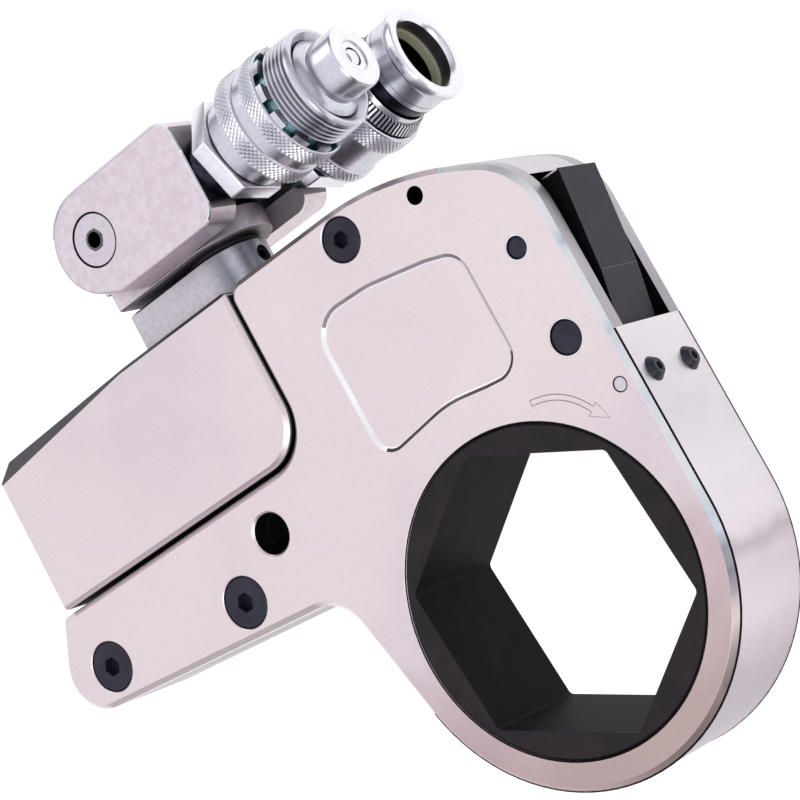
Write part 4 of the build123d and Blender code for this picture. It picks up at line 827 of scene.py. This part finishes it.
frontNose = {"profile": [
    (-14.4, 11.0), (-10.2, 11.0), (-10.2, 9.6), (11.6, 9.6),  # the collar's seat
    (12.2, 8.9), (13.2, 7.75), (13.3, 7.35), (14.0, 7.35), (14.2, 7.55), (14.4, 7.7),  # shoulder and groove
    (20.1, 7.7), (20.5, 7.6), (20.8, 7.35), (20.9, 7.1), (20.9, 3.95), (20.8, 3.75),  # nose and its face
    (20.55, 3.7), (20.45, 3.6), (20.3, 2.3), (18.6, 3.4), (10.0, 3.4), (10.0, 0.4)],  # ball seat and bore
    "bands": [(darkZinc, -30, -19, 0, 30), (shadeAndJointBlack, 0, 20.2, 0, 3.5)], "facesFrom": 13, "shadedTo": 28}


def makeFrontNose():
    y, z = coupler["axisY"], coupler["frontZ"]
    piece = turnOnX("frontCouplerBody", coupler["neck"] + frontNose["profile"], y, z)
    paintFaces(piece, facedZinc, lambda place, normal: normal.x > 0.9 and place.x > frontNose["facesFrom"])
    # painted shade: a darker neck behind the hexagon and near black in the bore round the ball
    paintBands(piece, frontNose["bands"], y, z)
    finishTurned(piece, frontNose["shadedTo"], "manifold", "front_coupler_body")
    makeNut("frontHexagon", z)


rearBarrel = {"profile": [
    (-14.2, 11.0), (-14.2, 10.4), (8.6, 10.4),  # the sleeve's seat
    (9.2, 10.45), (10.0, 10.75), (11.0, 11.02), (12.2, 11.15),  # swell
    (12.3, 11.0), (12.45, 11.0), (12.55, 11.2), (13.9, 11.2),  # first fine groove
    (13.95, 11.05), (14.1, 11.05), (14.15, 11.2), (17.6, 11.2),  # second fine groove
    (18.0, 11.35), (18.5, 11.85), (19.0, 12.0), (20.0, 12.0), (20.5, 11.85), (20.8, 11.55),  # collar
    (20.9, 11.2), (20.9, 9.9), (20.7, 9.5), (20.0, 8.9), (19.6, 8.6),  # face
    (16.7, 8.6), (16.6, 9.5), (14.4, 9.5), (14.3, 8.6), (3.0, 8.6),  # mouth with the seal's groove
    (3.0, 6.8), (12.0, 6.8), (12.4, 6.5), (12.4, 5.9), (12.2, 5.6), (10.9, 5.6),  # stem in the mouth
    (10.9, 3.5), (3.0, 3.5), (3.0, 0.4)],  # the stem's bore
    "bands": [(facedZinc, 19.65, 30, 8.7, 30), (darkZinc, -30, -19, 0, 30), (darkZinc, 8.8, 12.5, 9.9, 30),
              (hardSteel, 16.6, 19.7, 0, 8.75), (shadeAndJointBlack, -14, 14.35, 0, 9.6),
              (brightZinc, 11.9, 14.35, 0, 6.85)], "shadedTo": 28}


def makeRearBarrel():
    y, z = coupler["axisY"], coupler["rearZ"]
    piece = turnOnX("rearCouplerBody", coupler["neck"] + rearBarrel["profile"], y, z)
    # painted shade: the darker necks and the near black bore; the seal's seat and the stem's end keep their
    # own colours
    paintBands(piece, rearBarrel["bands"], y, z)
    finishTurned(piece, rearBarrel["shadedTo"], "manifold", "rear_coupler_body")
    makeNut("rearHexagon", z)


makeFrontCollar()
makeRearSleeve()
makeFrontNose()
makeRearBarrel()
print("couplers turned and knurled")


def drawLine(name, path, width, flat, material, body, slotName):
    # a wire given a little thickness makes a fine line, pressed flat by the share named
    drawWire(name, path)
    bpy.ops.object.convert(target='CURVE')
    bpy.context.object.data.bevel_depth = width / 2 * mm
    bpy.context.object.data.bevel_resolution = 1
    bpy.ops.object.convert(target='MESH')
    piece = bpy.context.object
    setMode('EDIT')
    bpy.ops.mesh.select_all(action='SELECT')
    bpy.ops.transform.resize(value=(1, 1, flat), center_override=(0, 0, path[0][2] * mm))
    setMode('OBJECT')
    piece.data.materials.clear()
    piece.data.materials.append(material)
    return settle(piece, body, slotName)


arrow = {"start": (18.3, 36.2), "end": (30.6, 28.2), "tip": (33.3, 24.7), "bow": 1.9, "halfWidth": 0.62,
         "headHalf": 1.7, "line": 0.22, "steps": 14, "nudge": 0.01, "headFrom": 0.93, "headTo": 0.99}


def arrowOutline():
    # outline of a bent arrow: up one side, round the head and back down the other
    startX, startY = arrow["start"]
    endX, endY = arrow["end"]
    along = Vector((endX - startX, endY - startY)).normalized()
    side = Vector((-along.y, along.x))

    def middle(share):
        bow = arrow["bow"] * 4 * share * (1 - share)
        return Vector((startX + (endX - startX) * share, startY + (endY - startY) * share)) + side * bow
    upper, lower = [], []
    for step in range(arrow["steps"] + 1):
        share = step / arrow["steps"]
        ahead = middle(min(1.0, share + arrow["nudge"])) - middle(max(0.0, share - arrow["nudge"]))
        across = Vector((-ahead.y, ahead.x)).normalized()
        upper.append(middle(share) + across * arrow["halfWidth"])
        lower.append(middle(share) - across * arrow["halfWidth"])
    tail = middle(arrow["headTo"]) - middle(arrow["headFrom"])
    barb = Vector((-tail.y, tail.x)).normalized() * arrow["headHalf"]
    head = [middle(1.0) + barb, Vector(arrow["tip"]), middle(1.0) - barb]
    corners = upper + head + lower[::-1] + upper[:1]
    return [(corner.x, corner.y, link["halfWidth"]) for corner in corners]


def bandEdge(z):
    # along the nose band's edge, just under its face: down the nose side and round the nose to the heel
    radius = link["noseRadius"] - 0.06
    path = [(radius, y, z) for y in (link["bandEndY"] - 0.2, 20.0, 0.0)]
    for angle in range(3, 360 - link["heelAngle"] + 1, 4):
        path.append((radius * cos(radians(-angle)), radius * sin(radians(-angle)), z))
    return path


tipEdge = [(x, lever["tipY"], lever["tipZ"]) for x in (lever["tipLow"], lever["tipHigh"])]
knee = [(lever["kneeX"], lever["kneeY"], z) for z in (lever["kneeZ"], -lever["kneeZ"])]
cheekRim = roundedPath(swivel["cheekEdge"], 22.72)[3:24]
# path, width in mm, how much of its height is left, finish, body and slot
fineLines = {
    "directionArrow": (arrowOutline(), arrow["line"], 0.2, etchedLine, "link", "black_oxide"),
    "frontBandSeam": (bandEdge(link["bandHalf"]), 0.7, 1.0, shadeAndJointBlack, "link", "black_oxide"),
    "rearBandSeam": (bandEdge(-link["bandHalf"]), 0.42, 1.0, shadeAndJointBlack, "link", "black_oxide"),
    # painted highlight along the pawl's tip
    "pawlWornEdge": (tipEdge, 0.5, 1.0, edgeHighlight, "holding_pawl", "black_oxide"),
    "pawlKnee": (knee, 0.24, 1.0, kneeLine, "holding_pawl", "black_oxide"),
    # painted highlight along the cheek's upper and right edges
    "cheekWornEdge": (cheekRim, 0.85, 1.0, polishedSteel, "manifold", "bright_steel"),
}
for name, values in fineLines.items():
    drawLine(name, *values)

# fine joint rings round inset discs: centre, height, radius and line width in mm, finish, body and slot
face = link["halfWidth"]
jointRings = {
    "frontCapRing": (swivel["tilt"], swivel["faceZ"], 6.36, 0.34, shadeAndJointBlack, "manifold", "black_oxide"),
    "rearCapRing": (swivel["tilt"], -swivel["faceZ"], 6.36, 0.34, shadeAndJointBlack, "manifold", "black_oxide"),
    "frontSocketRing": (swivel["tilt"], swivel["faceZ"], 2.15, 0.6, hardSteel, "manifold", "hardened_steel"),
    "dowelRing": (middleOf("dowel")[:2], face, 1.6, 0.26, shadeAndJointBlack, "link", "black_oxide"),
    "hubRing": (link["hub"][:2], face - 0.03, 36.6, 0.36, shadeAndJointBlack, "link", "black_oxide"),
    "stopPinRing": (middleOf("stop_pin")[:2], face, 2.65, 0.34, polishedSteel, "link", "bright_steel"),
    "pivotPinRing": (lever["pivot"], face, 4.0, 0.34, polishedSteel, "link", "bright_steel"),
}


def makeRing(name, centre, height, radius, width, material, body, slotName):
    deselectAll()
    bpy.ops.mesh.primitive_torus_add(major_segments=96, minor_segments=8, major_radius=radius * mm,
                                     minor_radius=width / 2 * mm, location=Vector((*centre, height)) * mm)
    piece = bpy.context.object
    piece.name = name
    piece.scale = (1, 1, 0.25)
    piece.data.materials.append(material)
    makeActive(piece)
    bpy.ops.object.shade_smooth()
    return settle(piece, body, slotName)


for name, values in jointRings.items():
    makeRing(name, *values)
print("arrow, seams and joint rings drawn")

# the floor lies below everything that the swivel can reach; lift is how bright it is seen, and shinyLift how
# bright it is mirrored
floorSize = {"z": -66.5, "half": 2000.0, "lift": 0.78, "shinyLift": 0.66}
deselectAll()
bpy.ops.mesh.primitive_plane_add(size=2 * floorSize["half"] * mm, location=(0, 0, floorSize["z"] * mm))
floor = bpy.context.object
floor.name = "floor"
floorPaint, floorTree, floorShader = startMaterial("paleFloor", "#B4B4B5", 0.0, 0.9, 0.1)[:3]
floorShader.inputs["Emission Color"].default_value = hexColour("#FFFFFF")
seen = addNode(floorTree, "LightPath")
seenOrShiny = addNode(floorTree, "Math", {"operation": "MAXIMUM"},
                      {0: seen.outputs["Is Camera Ray"], 1: seen.outputs["Is Glossy Ray"]})
seenAny = addNode(floorTree, "Math", {"operation": "MAXIMUM"},
                  {0: seenOrShiny.outputs[0], 1: seen.outputs["Is Transmission Ray"]})
glow = addNode(floorTree, "MapRange", {"To Min": floorSize["shinyLift"], "To Max": floorSize["lift"]},
               {"Value": seen.outputs["Is Camera Ray"]})
lift = addNode(floorTree, "Math", {"operation": "MULTIPLY"},
               {0: seenAny.outputs[0], 1: glow.outputs["Result"]})
floorTree.links.new(lift.outputs[0], floorShader.inputs["Emission Strength"])
floor.data.materials.append(floorPaint)

# the room is white overhead, greyer towards the horizon, with a dark wall low down on either side: where each
# wall begins and is full, sideways and from above, and how dark it is
walls = {
    "north": {"starts": 0.60, "full": 0.90, "dark": 0.35, "top": 0.62, "foot": 0.45},
    "south": {"starts": -0.60, "full": -0.85, "dark": 0.75, "top": 0.42, "foot": 0.25},
}
world = bpy.data.worlds.new("studio")
bpy.context.scene.world = world
world.use_nodes = True
sky = world.node_tree
skyShader = sky.nodes["Background"]
skyPlace = addNode(sky, "TexCoord").outputs["Generated"]
toward = addNode(sky, "SeparateXYZ", links={"Vector": skyPlace})
skyTint = addNode(sky, "ValToRGB", {"stops": [(0.0, "#9A9AA0"), (0.30, "#CBCBD2"), (0.70, "#F6F6FC")]},
                  {"Fac": toward.outputs["Z"]})
cards = []
for wall in walls.values():
    sideways = addNode(sky, "MapRange",
                       {"From Min": wall["starts"], "From Max": wall["full"], "To Max": wall["dark"]},
                       {"Value": toward.outputs["Y"]})
    below = addNode(sky, "MapRange", {"From Min": wall["top"], "From Max": wall["foot"]},
                    {"Value": toward.outputs["Z"]})
    card = addNode(sky, "Math", {"operation": "MULTIPLY"},
                   {0: sideways.outputs["Result"], 1: below.outputs["Result"]})
    cards.append(card.outputs[0])
bothCards = addNode(sky, "Math", {"operation": "ADD"}, {0: cards[0], 1: cards[1]})
clearSky = addNode(sky, "Math", {"operation": "SUBTRACT", 0: 1.0}, {1: bothCards.outputs[0]})
skyColour = addNode(sky, "VectorMath", {"operation": "SCALE"},
                    {"Vector": skyTint.outputs["Color"], "Scale": clearSky.outputs[0]})
sky.links.new(skyColour.outputs["Vector"], skyShader.inputs["Color"])

# places and sizes in metres, power in watts
lamps = {
    "key": {"place": (0.35, -0.75, 0.95), "size": 0.7, "power": 3.0},
    "fill": {"place": (0.90, -0.60, 0.55), "size": 0.5, "power": 1.0},
    "back": {"place": (-0.25, 0.95, 0.55), "size": 0.6, "power": 1.2},
}
aim = Vector((-0.03, 0.05, 0.0))
for name, lamp in lamps.items():
    light = bpy.data.lights.new(name, 'AREA')
    light.shape = 'SQUARE'
    light.size = lamp["size"]
    light.energy = lamp["power"]
    holder = bpy.data.objects.new(name, light)
    bpy.context.scene.collection.objects.link(holder)
    holder.location = lamp["place"]
    holder.rotation_euler = (aim - Vector(lamp["place"])).to_track_quat('-Z', 'Y').to_euler()

# the camera was solved from the ratchet's hexagon and the plate's straight edges
lens = {"place": (0.28683, -0.03079, 0.46483), "focal": 113.13, "right": (0.69314, -0.47051, -0.54606),
        "up": (0.47127, 0.86904, -0.1506), "back": (0.5454, -0.15296, 0.8241), "sensor": 36.0,
        "nearest": 0.01, "farthest": 20.0}
cameraData = bpy.data.cameras.new("camera")
cameraData.lens = lens["focal"]
cameraData.sensor_width = lens["sensor"]
cameraData.sensor_fit = 'HORIZONTAL'
cameraData.clip_start = lens["nearest"]
cameraData.clip_end = lens["farthest"]
camera = bpy.data.objects.new("camera", cameraData)
bpy.context.scene.collection.objects.link(camera)
turn = Matrix((lens["right"], lens["up"], lens["back"])).transposed().to_4x4()
camera.matrix_world = Matrix.Translation(lens["place"]) @ turn
bpy.context.scene.camera = camera
bpy.context.scene.view_settings.view_transform = 'Standard'
print("floor, light and camera set")

bpy.context.view_layer.update()
